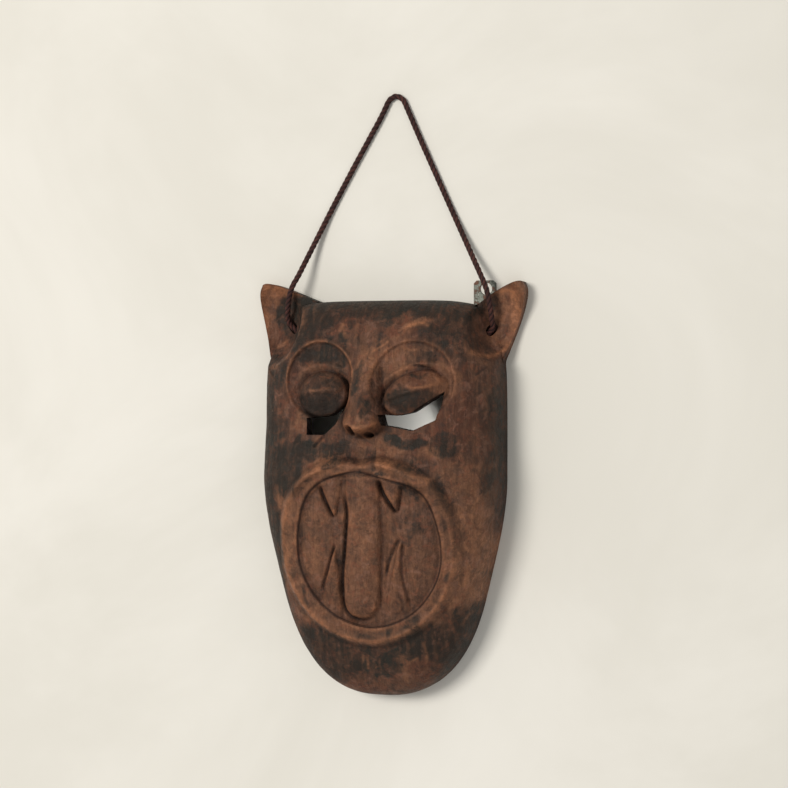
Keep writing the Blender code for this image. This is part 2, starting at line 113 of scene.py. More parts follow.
# Places of the carving on the chart. Eyes and brow sockets: middle across and up, half width, half height.
LEFT_EYE = (-0.377, 0.458, 0.217, 0.108)
RIGHT_EYE = (0.392, 0.460, 0.262, 0.106)
LEFT_BROW = (-0.407, 0.525, 0.292, 0.183)
RIGHT_BROW = (0.370, 0.515, 0.335, 0.195)
LEFT_EYE_LEAN = 0.0
RIGHT_EYE_LEAN = 0.12
LEFT_LID = ((-0.511, 0.345), (-0.507, 0.265), (-0.351, 0.266), (-0.259, 0.317), (-0.186, 0.402))
LEFT_UNDER_EYE = ((-0.225, 0.385), (-0.314, 0.356), (-0.420, 0.350))
RIGHT_LID = ((0.115, 0.362), (0.140, 0.312), (0.371, 0.286), (0.558, 0.337), (0.593, 0.395), (0.628, 0.471))
RIGHT_UNDER_EYE = ((0.491, 0.418), (0.371, 0.372), (0.250, 0.357))
OPENING_SPAN = (0.3 * FACE_DEPTH, 1.6 * FACE_DEPTH)

# Nose, and the mouth's middle and its half width, height above and height below
MIDLINE = -0.02
NOSE_TIP_UP = 0.285
MOUTH_UP = -0.292
MOUTH_SIZE = (0.724, 0.435, 0.425)
TONGUE_END = -0.510

# Fangs: tip, base, width at the base and height
FANGS = (
    ((-0.244, -0.125), (-0.268, 0.035), 0.092, 0.046),
    ((0.274, -0.097), (0.225, 0.050), 0.094, 0.050),
    ((-0.254, -0.255), (-0.328, -0.60), 0.108, 0.036),
    ((0.294, -0.215), (0.236, -0.60), 0.112, 0.038),
)

# Fineness of the skin, the hollow, the small pieces and drawn lines, and how far the wear and the painted
# shade are blurred
CELLS_ACROSS = 248
CELLS_UP = 368
HOLLOW_SHARE = 4
CORD_SIDES = 24
PLATE_SIDES = 144
HOLE_SIDES = 20
KNOT_POINTS = 260
CURVE_STEPS = 24
LINE_STEP = 0.003
CORD_STEP = 0.0006
BROAD_CELLS = 5
CLOSE_CELLS = 2
SECTION_STEPS = 4000

# Lattice of random numbers under the hills and dishes, and where on it the face starts
LATTICE = 64
LATTICE_START = 500.0

# The two sides of the face: sign of X, and name
SIDES = ((-1, "left"), (1, "right"))

# Colours of the wood, from its stain to its bare edges
DEEP_BROWN = (0.046, 0.0235, 0.0160)
WARM_BROWN = (0.082, 0.038, 0.0235)
RUSTY_STAIN = (0.108, 0.033, 0.017)
LIGHT_WOOD = (0.268, 0.120, 0.062)
PINK_WOOD = (0.205, 0.102, 0.070)
CLOUD_BROWN = (0.036, 0.0235, 0.0180)
BLOT_BROWN = (0.030, 0.0175, 0.0130)
EMBER_RED = (0.185, 0.058, 0.030)
GRAIN_LIGHT = (0.205, 0.094, 0.050)
GRAIN_DARK = (0.024, 0.011, 0.007)
STAIN_BLACK = (0.0190, 0.0130, 0.0095)
STAIN_GREEN = (0.0150, 0.0155, 0.0125)
RUBBED_EDGE = (0.345, 0.142, 0.066)
# Near black of the shade painted into the face's lines and low places
PAINTED_SHADE_BLACK = (0.0085, 0.0030, 0.0020)
PALE_FLECK = (0.230, 0.165, 0.120)
RAW_DARK = (0.040, 0.024, 0.016)
RAW_LIGHT = (0.070, 0.043, 0.028)
RAW_SHADE = (0.026, 0.017, 0.013)


def rise(start, end, value):
    """Smooth step from 0 at start to 1 at end; start may be the larger one."""
    share = np.clip((value - start) / (end - start), 0.0, 1.0)
    return share * share * (3.0 - 2.0 * share)


def soft_max(first, second, blend):
    """The larger of two heights, rounded over where they meet."""
    return 0.5 * (first + second + np.sqrt((first - second) ** 2 + blend ** 2))


def soft_min(first, second, blend):
    """The smaller of two heights, rounded over where they meet."""
    return -soft_max(-first, -second, blend)


def power_round(share, power):
    """Superellipse quarter: 1 at share 0, falling upright to 0 at share 1."""
    inside = np.clip(1.0 - np.abs(share) ** power, 0.0, 1.0)
    return inside ** (1.0 / power)


def noise(x, y, size, seed):
    """Smooth random hills from -1 to 1: a lattice of random heights, eased between its points."""
    table = np.random.default_rng(seed).uniform(-1.0, 1.0, (LATTICE, LATTICE))
    across = x / size + LATTICE_START
    up = y / size + LATTICE_START
    column = np.floor(across).astype(int)
    row = np.floor(up).astype(int)
    right = rise(0.0, 1.0, across - column)
    upper = rise(0.0, 1.0, up - row)
    here, beside = column % LATTICE, (column + 1) % LATTICE
    level, above = row % LATTICE, (row + 1) % LATTICE
    low = table[level, here] * (1.0 - right) + table[level, beside] * right
    high = table[above, here] * (1.0 - right) + table[above, beside] * right
    return low * (1.0 - upper) + high * upper


def tool_dishes(x, y, size, seed):
    """Shallow dishes left by a gouge: the squared distance to the nearest of many scattered points."""
    jitter = np.random.default_rng(seed).uniform(0.12, 0.88, (LATTICE, LATTICE, 2))
    column = np.floor(x / size).astype(int)
    row = np.floor(y / size).astype(int)
    nearest = np.full(x.shape, np.inf)
    for step_up in (-1, 0, 1):
        for step_across in (-1, 0, 1):
            cell = ((row + step_up) % LATTICE, (column + step_across) % LATTICE)
            off_x = x / size - (column + step_across) - jitter[cell][..., 0]
            off_y = y / size - (row + step_up) - jitter[cell][..., 1]
            nearest = np.minimum(nearest, off_x ** 2 + off_y ** 2)
    return np.minimum(nearest, 0.6) - 0.2


def running_length(points):
    """Distance along a line of points, from its first point to each of them."""
    return np.concatenate(([0.0], np.cumsum(np.linalg.norm(np.diff(points, axis=0), axis=1))))


def smooth_path(points, step):
    """Points at equal steps along a smooth curve through the given points."""
    places = np.array(points, dtype=float)
    before = np.vstack([2 * places[0] - places[1], places, 2 * places[-1] - places[-2]])
    share = np.linspace(0.0, 1.0, CURVE_STEPS, endpoint=False)[:, None]
    fine = []
    for a, b, c, d in zip(before, before[1:], before[2:], before[3:]):
        slope_in = (c - a) / 2
        slope_out = (d - b) / 2
        cubic = b + slope_in * share + (3 * (c - b) - 2 * slope_in - slope_out) * share ** 2
        fine.append(cubic + (2 * (b - c) + slope_in + slope_out) * share ** 3)
    fine = np.vstack(fine + [places[-1:]])
    length = running_length(fine)
    marks = np.linspace(0.0, length[-1], max(2, round(length[-1] / step) + 1))
    return np.stack([np.interp(marks, length, fine[:, axis]) for axis in range(places.shape[1])], axis=1)


def stroke(x, y, chart_points, width, height):
    """A carved line or ridge: a bell section of the given width along a smooth line, tapered at its ends."""
    line = smooth_path(np.array(chart_points) * (HALF_WIDTH, HALF_HEIGHT), LINE_STEP)
    count = len(line) - 1
    nearest = np.full(x.shape, np.inf)
    along = np.zeros(x.shape)
    for index, (start, end) in enumerate(zip(line, line[1:])):
        reach = end - start
        share = ((x - start[0]) * reach[0] + (y - start[1]) * reach[1]) / (reach @ reach)
        share = np.clip(share, 0.0, 1.0)
        distance = np.hypot(x - start[0] - share * reach[0], y - start[1] - share * reach[1])
        closer = distance < nearest
        nearest = np.where(closer, distance, nearest)
        along = np.where(closer, (index + share) / count, along)
    ends = rise(0.0, 0.14, along) * rise(1.0, 0.86, along)
    return height * np.exp(-((nearest / width) ** 2)) * ends


def end_share(y, inset):
    """How far y lies from the widest level towards the crown or the chin, 0 to 1."""
    up = (y - WIDEST_HEIGHT) / (CROWN_HEIGHT - inset - WIDEST_HEIGHT)
    down = (WIDEST_HEIGHT - y) / (WIDEST_HEIGHT - CHIN - inset)
    return np.where(y >= WIDEST_HEIGHT, up, down)


def taper(share, lower):
    """The sides draw in a little below the widest level."""
    return np.where(lower, 1.0 - CHEEK_TAPER * rise(0.0, 0.55, share), 1.0)


def outline_power(lower, inset):
    """How square the outline is: round at the chin, nearly square at the crown, rounder in the hollow."""
    crown = CROWN_POWER if inset == 0.0 else HOLLOW_CROWN_POWER
    return np.where(lower, CHIN_POWER, crown)


def half_width_at(y, inset):
    """Half the body's width at height y, for the outside or an inset outline."""
    share = end_share(y, inset)
    lower = y < WIDEST_HEIGHT
    return (HALF_WIDTH - inset) * power_round(share, outline_power(lower, inset)) * taper(share, lower)


def face_level(y):
    """Depth of the face at its middle: flat brow, full lips, receding chin."""
    b = y / HALF_HEIGHT
    lips = 0.15 * rise(0.33, 0.06, b)
    chin = 0.30 * (soft_max((0.02 - b) / 0.82, 0.0, 0.14) - 0.005)
    return FACE_DEPTH * (0.92 + lips - chin)


def dome(x, y, level, inset):
    """Smooth shell: rounded square sections across and along, upright at the rim."""
    across = np.abs(x) / np.maximum(half_width_at(y, inset), 1e-6)
    return level * power_round(end_share(y, inset), SECTION_POWER) * power_round(across, CROSS_POWER)


def outline(angle, inset):
    """Body outline point for a chart angle, equal steps in angle about the middle."""
    cosine = np.abs(np.cos(angle))
    sine = np.abs(np.sin(angle))
    lower = np.sin(angle) < 0.0
    power = outline_power(lower, inset)
    length = (cosine ** power + sine ** power) ** (-1.0 / power)
    share = sine * length
    reach = np.where(lower, WIDEST_HEIGHT - CHIN - inset, CROWN_HEIGHT - inset - WIDEST_HEIGHT)
    x = np.sign(np.cos(angle)) * (HALF_WIDTH - inset) * cosine * length * taper(share, lower)
    y = WIDEST_HEIGHT + np.where(lower, -1.0, 1.0) * reach * share
    return x, y


def ear_offset(x, y):
    """How far the outline point (x, y) is drawn out into the ear beside it.

    The left ear slopes gently off the crown. The right one starts with a step.
    """
    corner_x, corner_y = outline(np.pi / 4.0, 0.0)
    distance = np.hypot(np.abs(x) - corner_x, y - corner_y)
    eased = np.sqrt(distance ** 2 + EAR_TIP_ROUND ** 2) - EAR_TIP_ROUND
    slope = np.clip(1.0 - eased / EAR_TOP_RUN, 0.0, 1.0)
    side = 1.0 - (eased / EAR_SIDE_RUN) ** 1.3
    side = np.clip(soft_max(side, 0.0, 0.06) - 0.015, 0.0, 1.0)
    along_top = np.abs(x) < corner_x
    step = np.clip(1.0 - eased / RIGHT_EAR_STEP, 0.0, 1.0)
    out = np.where(along_top, np.where(x < 0.0, slope ** 1.3, slope ** 4), side)
    up = np.where(along_top, np.where(x < 0.0, slope ** 1.3, step), side)
    upper = y > 0.0
    out = np.where(upper, out, 0.0)
    up = np.where(upper, up, 0.0)
    reach = np.where(x < 0.0, -LEFT_EAR_REACH, RIGHT_EAR_REACH)
    return out * reach, up * EAR_RISE, np.maximum(out, up)


def ear_hollow(x, y):
    """Floor of the scoop in each ear, rising steeply towards its edges."""
    corner_x, corner_y = outline(np.pi / 4.0, 0.0)
    reach = np.where(x < 0.0, LEFT_EAR_REACH, RIGHT_EAR_REACH)
    across = (np.abs(x) - corner_x - 0.36 * reach) / (0.0135 + 0.17 * reach)
    across = across * np.where(across < 0.0, np.where(x < 0.0, 0.76, 1.10), 1.0)
    along = (y - corner_y - 0.07 * EAR_RISE) / 0.0275
    return EAR_THICKNESS - EAR_HOLLOW + EAR_HOLLOW * (across ** 2 + along ** 2) ** 2


def section_steps(height):
    """Steps of equal length along a section of this height, at each of the section's shares."""
    section = np.stack([SECTION_SHARES, height * power_round(SECTION_SHARES, SECTION_POWER)], axis=1)
    length = running_length(section)
    return length / length[-1]


# Rings of the skin lie closer together on the face. The ears' lobes are placed by the solid's own rings.
SECTION_SHARES = np.linspace(0.0, 1.0, SECTION_STEPS + 1)
SKIN_RINGS = section_steps(0.18)
SOLID_RINGS = section_steps(0.55)


def disc_chart(cells_across, cells_up):
    """A rectangular grid laid on a disc: ring (0 to 1) and angle of every grid point."""
    across, up = np.meshgrid(np.linspace(-1.0, 1.0, cells_across + 1), np.linspace(-1.0, 1.0, cells_up + 1))
    disc_x = across * np.sqrt(1.0 - up ** 2 / 2.0)
    disc_y = up * np.sqrt(1.0 - across ** 2 / 2.0)
    ring = np.minimum(np.hypot(disc_x, disc_y), 1.0)
    ring[[0, -1], :] = 1.0
    ring[:, [0, -1]] = 1.0
    return ring, np.arctan2(disc_y, disc_x)


def mouth_radius(a, b, bow=0.030):
    """Distance from the middle of the mouth, 1 on the lips' outer edge.

    The edge bows in at the middle of the top.
    """
    up = b - MOUTH_UP
    upper = up > 0.0
    height = np.where(upper, MOUTH_SIZE[1], MOUTH_SIZE[2])
    power = np.where(upper, 2.5, 1.9)
    dip = bow * np.exp(-((a - MIDLINE) / 0.09) ** 2) * rise(0.25, 0.40, up)
    return ((np.abs(a) / MOUTH_SIZE[0]) ** power + (np.abs(up) / height) ** power) ** (1.0 / power) + dip


def mouth_line(a, b):
    """Distance inwards from the line where the lips meet the mouth. It peaks a little left of the middle."""
    peak = 0.022 * np.exp(-((a + 0.04) / 0.11) ** 2) - 0.050 * np.exp(-((a - 0.24) / 0.19) ** 2)
    upper = rise(-0.15, 0.06, b)
    return 0.815 + (0.06 + peak) * upper - mouth_radius(a - 0.02, b, 0.0)


def lips_relief(a, b):
    """A flat band of lip with a crisp outer edge, the mouth's floor below it and a fine line between them."""
    radius = mouth_radius(a, b)
    inward = mouth_line(a, b)
    band = 0.074 * rise(1.070, 0.985, radius) - 0.020 * rise(0.975, 0.86, radius)
    crest = 0.010 * np.exp(-((radius - 0.972) / 0.020) ** 2)
    cheek = 0.042 * np.exp(-((a - 0.84) / 0.15) ** 2 - ((b + 0.24) / 0.30) ** 2) * rise(0.97, 1.05, radius)
    floor = 0.052 * rise(-0.012, 0.034, inward)
    line = 0.016 * np.exp(-((inward + 0.001) / 0.011) ** 2)
    return band + crest + cheek - floor - line


def tongue_relief(a, b):
    """Long tongue that hangs down the mouth, a little to one side."""
    axis = MIDLINE + 0.02 + 0.13 * np.clip(b + 0.10, -0.40, 0.0)
    beyond = np.clip((TONGUE_END - b) / 0.095, 0.0, 2.0)
    width = 0.143 + 0.014 * rise(-0.15, -0.40, b)
    across = (a - axis) / width
    radius = np.hypot(across, beyond)
    rounded = np.clip(1.0 - radius ** 3.0, 0.0, 1.0) ** (0.60 + 0.40 * rise(0.2, 0.8, across))
    tilt = 0.010 * across
    return (0.056 * rounded + tilt * rise(1.0, 0.8, radius)) * rise(-0.01, 0.04, mouth_line(a, b))


def fang(a, b, tip, base, base_width, height):
    """One pointed tooth from its tip to its base, both chart points."""
    along = (b - tip[1]) / (base[1] - tip[1])
    axis = tip[0] + (base[0] - tip[0]) * along
    width = base_width * np.clip(along, 0.0, 1.3) ** 0.8 + 1e-4
    body = np.clip(1.0 - np.abs((a - axis) / width) ** 2.2, 0.0, 1.0) ** 0.7
    return height * body * rise(0.0, 0.15, along) * rise(1.25, 1.05, along)


def fangs_relief(a, b):
    """Two short fangs from above and two tall ones from below, beside the tongue."""
    teeth = np.max([fang(a, b, *tooth) for tooth in FANGS], axis=0)
    return teeth * rise(-0.01, 0.03, mouth_line(a, b))


def mouth_cheek_relief(a, b):
    """Full pads between the fangs and the lips."""
    height = np.zeros(a.shape)
    for middle_a, middle_b, wide, tall in ((-0.43, -0.22, 0.17, 0.25), (0.46, -0.31, 0.16, 0.24)):
        inside = 1.0 - ((a - middle_a) / wide) ** 2 - ((b - middle_b) / tall) ** 2
        height += 0.034 * np.clip(inside, 0.0, 1.0) ** 0.8
    return height


def eye_relief(a, b, eye, brow, lean, edge_height, gap):
    """Worn edge of the brow, dished socket, lid and bulging creased eye on one side."""
    from_brow = np.hypot((a - brow[0]) / brow[2], (b - brow[1]) / brow[3])
    upper = rise(brow[1] - 0.12, brow[1] + 0.02, b)
    socket = -0.024 * rise(1.0, 0.93, from_brow) - 0.028 * rise(0.96, 0.72, from_brow)
    edge = edge_height * np.exp(-((from_brow - 1.03) / 0.055) ** 2) * upper
    up = b - eye[1] - lean * (a - eye[0])
    ball = np.hypot((a - eye[0]) / eye[2], up / eye[3])
    towards_nose = 1.0 if eye[0] < 0.0 else -1.0
    deep_side = rise(-0.4, 0.7, 0.8 * towards_nose * (a - eye[0]) / eye[2] - 0.6 * up / eye[3])
    bulge = 0.170 * np.clip(1.0 - ball ** 2, 0.0, 1.0) ** (0.82 - 0.27 * deep_side)
    lid = 0.020 * np.exp(-((ball - 1.28) / 0.13) ** 2) * rise(0.0, 0.03, up)
    groove = gap * np.exp(-((ball - 1.04) / 0.055) ** 2) * (0.12 + 0.88 * deep_side)
    inside = rise(1.0, 0.75, ball)
    crease_up = up - 0.012 - 0.05 * (a - eye[0])
    crease = (0.012 * np.exp(-((crease_up / 0.012) ** 2)) - 0.022 * rise(0.014, -0.014, crease_up)) * inside
    return socket + edge + bulge + lid - groove + crease


def nose_relief(a, b):
    """Wedge nose that grows down to a blunt tip, cut off below along a curve, with two nostrils."""
    across = a - MIDLINE
    down = np.clip((0.70 - b) / (0.70 - NOSE_TIP_UP), 0.0, 1.2)
    width = 0.115 + 0.080 * down ** 1.4
    foot = NOSE_TIP_UP + 0.040 * np.minimum((across / 0.165) ** 2, 1.5)
    height = 0.31 * down ** 1.15 * rise(foot - 0.040, foot + 0.018, b)
    bridge = height * np.clip(1.0 - np.abs(across / width) ** 1.9, 0.0, 1.0)
    wings = np.hypot((np.abs(across) - 0.118) / 0.092, (b - NOSE_TIP_UP - 0.034) / 0.066)
    left_nostril = np.hypot((a + 0.100) / 0.040, (b - 0.289) / 0.030)
    right_nostril = np.hypot((a - 0.032) / 0.046, (b - 0.268) / 0.018)
    nostrils = 0.13 * (rise(1.0, 0.3, left_nostril) + rise(1.0, 0.3, right_nostril))
    return bridge + 0.065 * rise(1.0, 0.0, wings) - nostrils


def carving(x, y):
    """All the main forms of the face at (x, y), in metres."""
    a = x / HALF_WIDTH
    b = y / HALF_HEIGHT
    mouth = lips_relief(a, b) + np.maximum(tongue_relief(a, b), fangs_relief(a, b)) + mouth_cheek_relief(a, b)
    left_eye = eye_relief(a, b, LEFT_EYE, LEFT_BROW, LEFT_EYE_LEAN, edge_height=0.016, gap=0.070)
    right_eye = eye_relief(a, b, RIGHT_EYE, RIGHT_BROW, RIGHT_EYE_LEAN, edge_height=0.005, gap=0.026)
    return FACE_DEPTH * (mouth + left_eye + right_eye + nose_relief(a, b))


def knife_lines(x, y):
    """Lines cut beside the tongue and the fangs and round the eyes, and the cracks.

    Each has its chart points, its width and its height, which is below zero for a cut.
    """
    cuts = (
        (
            [(-0.180, 0.035), (-0.148, -0.056), (-0.143, -0.116), (-0.175, -0.280), (-0.199, -0.370),
             (-0.208, -0.474), (-0.200, -0.549), (-0.150, -0.592), (-0.040, -0.606), (0.062, -0.585)],
            0.0016, -0.0026,
        ),
        (
            [(0.100, -0.560), (0.112, -0.469), (0.134, -0.320), (0.147, -0.216), (0.147, -0.100)],
            0.0014, -0.0014,
        ),
        ([(-0.362, 0.034), (-0.335, -0.020), (-0.290, -0.075), (-0.240, -0.128)], 0.0016, -0.0026),
        ([(0.128, 0.066), (0.159, -0.002), (0.215, -0.052), (0.280, -0.100)], 0.0017, -0.0034),
        ([(0.320, 0.034), (0.302, -0.030), (0.278, -0.090)], 0.0014, -0.0012),
        ([(-0.250, -0.240), (-0.300, -0.330), (-0.335, -0.388), (-0.400, -0.485)], 0.0012, -0.0019),
        ([(-0.222, -0.250), (-0.218, -0.360), (-0.225, -0.500)], 0.0014, -0.0008),
        ([(0.296, -0.205), (0.235, -0.265), (0.195, -0.313), (0.156, -0.395)], 0.0013, -0.0017),
        ([(0.306, -0.222), (0.298, -0.319), (0.300, -0.408), (0.350, -0.545)], 0.0013, -0.0016),
        ([(0.170, -0.110), (0.178, -0.220), (0.165, -0.350), (0.140, -0.480)], 0.0016, -0.0009),
        ([(0.340, 0.594), (0.442, 0.588), (0.548, 0.562), (0.620, 0.527)], 0.0009, -0.0016),
        ([(-0.340, 0.268), (-0.385, 0.242), (-0.440, 0.206)], 0.0010, -0.0016),
        ([(-0.720, 0.470), (-0.690, 0.430), (-0.640, 0.385)], 0.0011, -0.0010),
        ([(0.075, 0.105), (0.090, 0.135), (0.100, 0.170)], 0.0030, -0.0006),
    )
    return sum(stroke(x, y, *cut) for cut in cuts)


def worn_ridges(x, y):
    """Soft ridges of the upper lip, the tongue, the brow and an ear, and a groove in the lip's middle."""
    ridges = (
        ([(-0.130, 0.168), (-0.290, 0.140), (-0.450, 0.075), (-0.620, -0.010)], 0.0036, 0.0022),
        ([(0.050, 0.160), (0.190, 0.130), (0.340, 0.082), (0.520, 0.005)], 0.0038, 0.0028),
        ([(-0.035, 0.090), (-0.030, 0.150), (-0.020, 0.215)], 0.0050, -0.0014),
        ([(0.000, -0.340), (0.008, -0.430), (0.010, -0.490)], 0.0022, 0.0010),
        ([(0.235, -0.340), (0.240, -0.430), (0.240, -0.500)], 0.0022, 0.0009),
        ([(-0.120, 0.740), (-0.075, 0.690), (-0.050, 0.650)], 0.0022, 0.0008),
        ([(0.300, 0.745), (0.420, 0.770), (0.540, 0.765)], 0.0035, 0.0010),
        ([(-0.820, 0.620), (-0.880, 0.700), (-0.930, 0.760)], 0.0018, 0.0006),
    )
    return sum(stroke(x, y, *ridge) for ridge in ridges)


def round_pads(x, y):
    """Low round pads at the foot of the tongue and of one fang: a flat cap with a soft edge."""
    height = np.zeros(x.shape)
    for a, b, wide, tall in ((0.017, -0.530, 0.0052, 0.0062), (0.235, -0.527, 0.0048, 0.0062)):
        radius = np.hypot((x - a * HALF_WIDTH) / wide, (y - b * HALF_HEIGHT) / tall)
        height += 0.0010 * rise(1.15, 0.85, radius) - 0.0006 * rise(0.8, 0.3, radius)
    return height


def gouge_marks(x, y):
    """Upright gouge strokes under the brows, and shallow dishes of the tool across the face."""
    a = x / HALF_WIDTH
    b = y / HALF_HEIGHT
    wander = x + 0.0011 * noise(x, y, 0.012, 11)
    flutes = np.abs(np.sin(wander * math.pi / 0.0046)) ** 0.7 - 0.6
    left = np.hypot((a - LEFT_BROW[0]) / (0.88 * LEFT_BROW[2]), (b - 0.64) / 0.055)
    right = np.hypot((a - RIGHT_BROW[0]) / RIGHT_BROW[2], (b - 0.645) / 0.075)
    brows = np.clip(rise(1.0, 0.6, left) + 0.8 * rise(1.0, 0.6, right), 0.0, 1.0)
    warp = 0.0022 * noise(x, y, 0.011, 12)
    dishes = 0.0009 * tool_dishes(x + warp, 0.62 * y + warp, 0.0125, 5)
    dishes += 0.0005 * tool_dishes(x - warp, 0.5 * y, 0.0062, 6)
    return dishes - 0.00055 * flutes * brows + 0.00018 * noise(x, y * 0.35, 0.0035, 7)


def patchwork(x, y, patches, seed):
    """Soft-edged patches with wandering borders.

    Each has its middle across and up, its half width and half height on the chart, and its strength.
    """
    a = x / HALF_WIDTH + 0.06 * noise(x, y, 0.017, seed) + 0.025 * noise(x, y, 0.006, seed + 1)
    b = y / HALF_HEIGHT + 0.04 * noise(x, y, 0.015, seed + 2) + 0.016 * noise(x, y, 0.006, seed + 3)
    cover = np.zeros(x.shape)
    for middle_a, middle_b, wide, tall, strength in patches:
        radius = np.hypot((a - middle_a) / wide, (b - middle_b) / tall)
        cover = np.maximum(cover, strength * rise(1.25, 0.55, radius))
    return cover


def upright_streaks(x, y):
    """Ragged upright streaks, 0 to 1, where the brush and the gouge ran down the face."""
    drawn = noise(x, 0.11 * y, 0.0022, 31) + 0.6 * noise(x, 0.16 * y, 0.0010, 32)
    return rise(-0.7, 0.8, drawn)


def stain(x, y):
    """Where the dark stain has stayed, 0 to 1: crown, sides, sockets, cheeks, chin and clouds on the lips."""
    patches = (
        # Crown, ear roots and forehead
        (-0.58, 0.84, 0.34, 0.17, 0.90),
        (-0.87, 0.83, 0.06, 0.11, 1.00),
        (0.10, 0.91, 0.90, 0.10, 1.00),
        (0.60, 0.72, 0.22, 0.12, 0.60),
        (0.62, 0.85, 0.16, 0.10, 0.70),
        (-0.20, 0.66, 0.07, 0.10, 0.70),
        (-0.12, 0.78, 0.05, 0.04, 0.60),
        (0.16, 0.80, 0.09, 0.05, 0.60),
        (0.10, 0.68, 0.04, 0.05, 0.60),
        (0.52, 0.70, 0.08, 0.03, 0.60),
        # Sides
        (-0.95, 0.12, 0.16, 0.55, 1.00),
        (-0.84, 0.56, 0.10, 0.12, 0.80),
        (-0.86, -0.35, 0.16, 0.45, 1.00),
        (1.00, 0.22, 0.11, 0.42, 0.72),
        (0.97, -0.48, 0.10, 0.22, 0.60),
        (0.78, -0.62, 0.14, 0.08, 0.90),
        # Brow sockets and eyes
        (-0.42, 0.655, 0.22, 0.045, 1.00),
        # The next patch, on the lower half of the left eyeball, is stain and painted shade together
        (-0.37, 0.41, 0.26, 0.08, 1.00),
        (-0.34, 0.50, 0.22, 0.07, 0.80),
        (0.30, 0.42, 0.22, 0.05, 0.85),
        (0.50, 0.46, 0.12, 0.04, 0.90),
        (0.36, 0.53, 0.10, 0.02, 0.60),
        # Nose and cheeks
        (-0.05, 0.50, 0.04, 0.14, 0.50),
        (0.01, 0.375, 0.055, 0.05, 0.75),
        (-0.68, 0.08, 0.26, 0.14, 1.00),
        (-0.38, 0.19, 0.36, 0.06, 0.90),
        (-0.78, 0.27, 0.07, 0.06, 0.70),
        (-0.55, 0.20, 0.08, 0.09, 0.90),
        (0.37, 0.225, 0.22, 0.045, 1.00),
        (0.62, 0.24, 0.12, 0.09, 0.70),
        # Lips and mouth
        (0.09, 0.135, 0.05, 0.05, 0.75),
        (-0.19, 0.115, 0.11, 0.022, 0.80),
        (-0.24, 0.105, 0.08, 0.020, 0.85),
        (-0.42, 0.045, 0.07, 0.020, 0.70),
        (0.18, 0.085, 0.07, 0.020, 0.85),
        (0.34, 0.030, 0.09, 0.016, 0.65),
        (0.44, 0.11, 0.16, 0.05, 0.55),
        (0.42, -0.01, 0.11, 0.045, 0.80),
        (0.60, 0.02, 0.05, 0.05, 0.60),
        (0.65, -0.06, 0.07, 0.09, 0.50),
        (0.42, -0.15, 0.07, 0.06, 0.60),
        (-0.20, -0.30, 0.05, 0.10, 0.50),
        # Chin
        (-0.45, -0.78, 0.42, 0.16, 0.80),
        (0.02, -0.82, 0.30, 0.10, 0.65),
        (0.46, -0.72, 0.34, 0.11, 0.85),
        (0.60, -0.88, 0.20, 0.10, 0.60),
    )
    radius = mouth_radius(x / HALF_WIDTH, y / HALF_HEIGHT)
    cloud = noise(x, y, 0.013, 25) + 0.5 * noise(x, y, 0.0055, 26)
    band = 0.48 * rise(0.985, 0.945, radius) * rise(0.835, 0.885, radius) * rise(-0.3, 0.8, cloud)
    return np.maximum(band, patchwork(x, y, patches, 21) * (0.68 + 0.32 * upright_streaks(x, y)))


def bare(x, y):
    """Where handling has left lighter brown wood, 0 to 1."""
    a = x / HALF_WIDTH
    b = y / HALF_HEIGHT
    patches = (
        # Mouth and tongue
        (0.02, -0.28, 0.60, 0.38, 0.40),
        (-0.42, -0.22, 0.14, 0.20, 0.62),
        (-0.02, -0.18, 0.13, 0.30, 0.60),
        # Lips
        (-0.69, -0.20, 0.09, 0.28, 1.00),
        (-0.52, -0.58, 0.16, 0.07, 0.60),
        (0.40, -0.60, 0.20, 0.06, 0.60),
        (-0.33, 0.128, 0.15, 0.030, 1.00),
        (-0.52, 0.055, 0.12, 0.05, 0.70),
        (0.24, 0.120, 0.22, 0.038, 1.00),
        (0.48, 0.045, 0.12, 0.035, 0.75),
        # Right side of the face
        (0.83, -0.30, 0.16, 0.34, 1.00),
        (0.70, -0.52, 0.10, 0.08, 0.80),
        (0.80, -0.16, 0.08, 0.16, 1.00),
        (0.74, 0.02, 0.16, 0.16, 0.45),
        # Nose and cheeks
        (0.20, 0.205, 0.12, 0.055, 0.70),
        (0.55, 0.165, 0.14, 0.03, 0.80),
        (-0.03, 0.20, 0.07, 0.07, 0.55),
        (0.00, 0.312, 0.12, 0.020, 1.00),
        (-0.10, 0.34, 0.03, 0.05, 0.60),
        (-0.59, 0.32, 0.09, 0.08, 0.70),
        # Brows and forehead
        (0.22, 0.63, 0.16, 0.08, 0.75),
        (0.02, 0.62, 0.10, 0.10, 0.75),
        (0.50, 0.62, 0.12, 0.05, 0.55),
        (0.62, 0.50, 0.10, 0.10, 0.60),
        (0.38, 0.775, 0.15, 0.020, 0.95),
        (0.16, 0.74, 0.12, 0.02, 0.50),
        (-0.35, 0.57, 0.20, 0.035, 0.55),
        (-0.21, 0.74, 0.03, 0.05, 0.55),
        # Ears
        (1.10, 0.86, 0.20, 0.16, 0.45),
        (0.97, 0.92, 0.08, 0.06, 0.75),
        (0.93, 0.77, 0.06, 0.04, 0.65),
        (1.02, 0.72, 0.06, 0.04, 0.70),
        (-1.02, 0.88, 0.14, 0.14, 0.60),
        # Chin
        (0.27, -0.84, 0.05, 0.06, 0.60),
        (-0.06, -0.80, 0.03, 0.05, 0.60),
    )
    radius = mouth_radius(a, b)
    ring = 0.60 * rise(1.02, 0.97, radius) * rise(0.80, 0.84, radius)
    return np.maximum(patchwork(x, y, patches, 41), ring) * (0.72 + 0.28 * upright_streaks(x + 0.1, y))


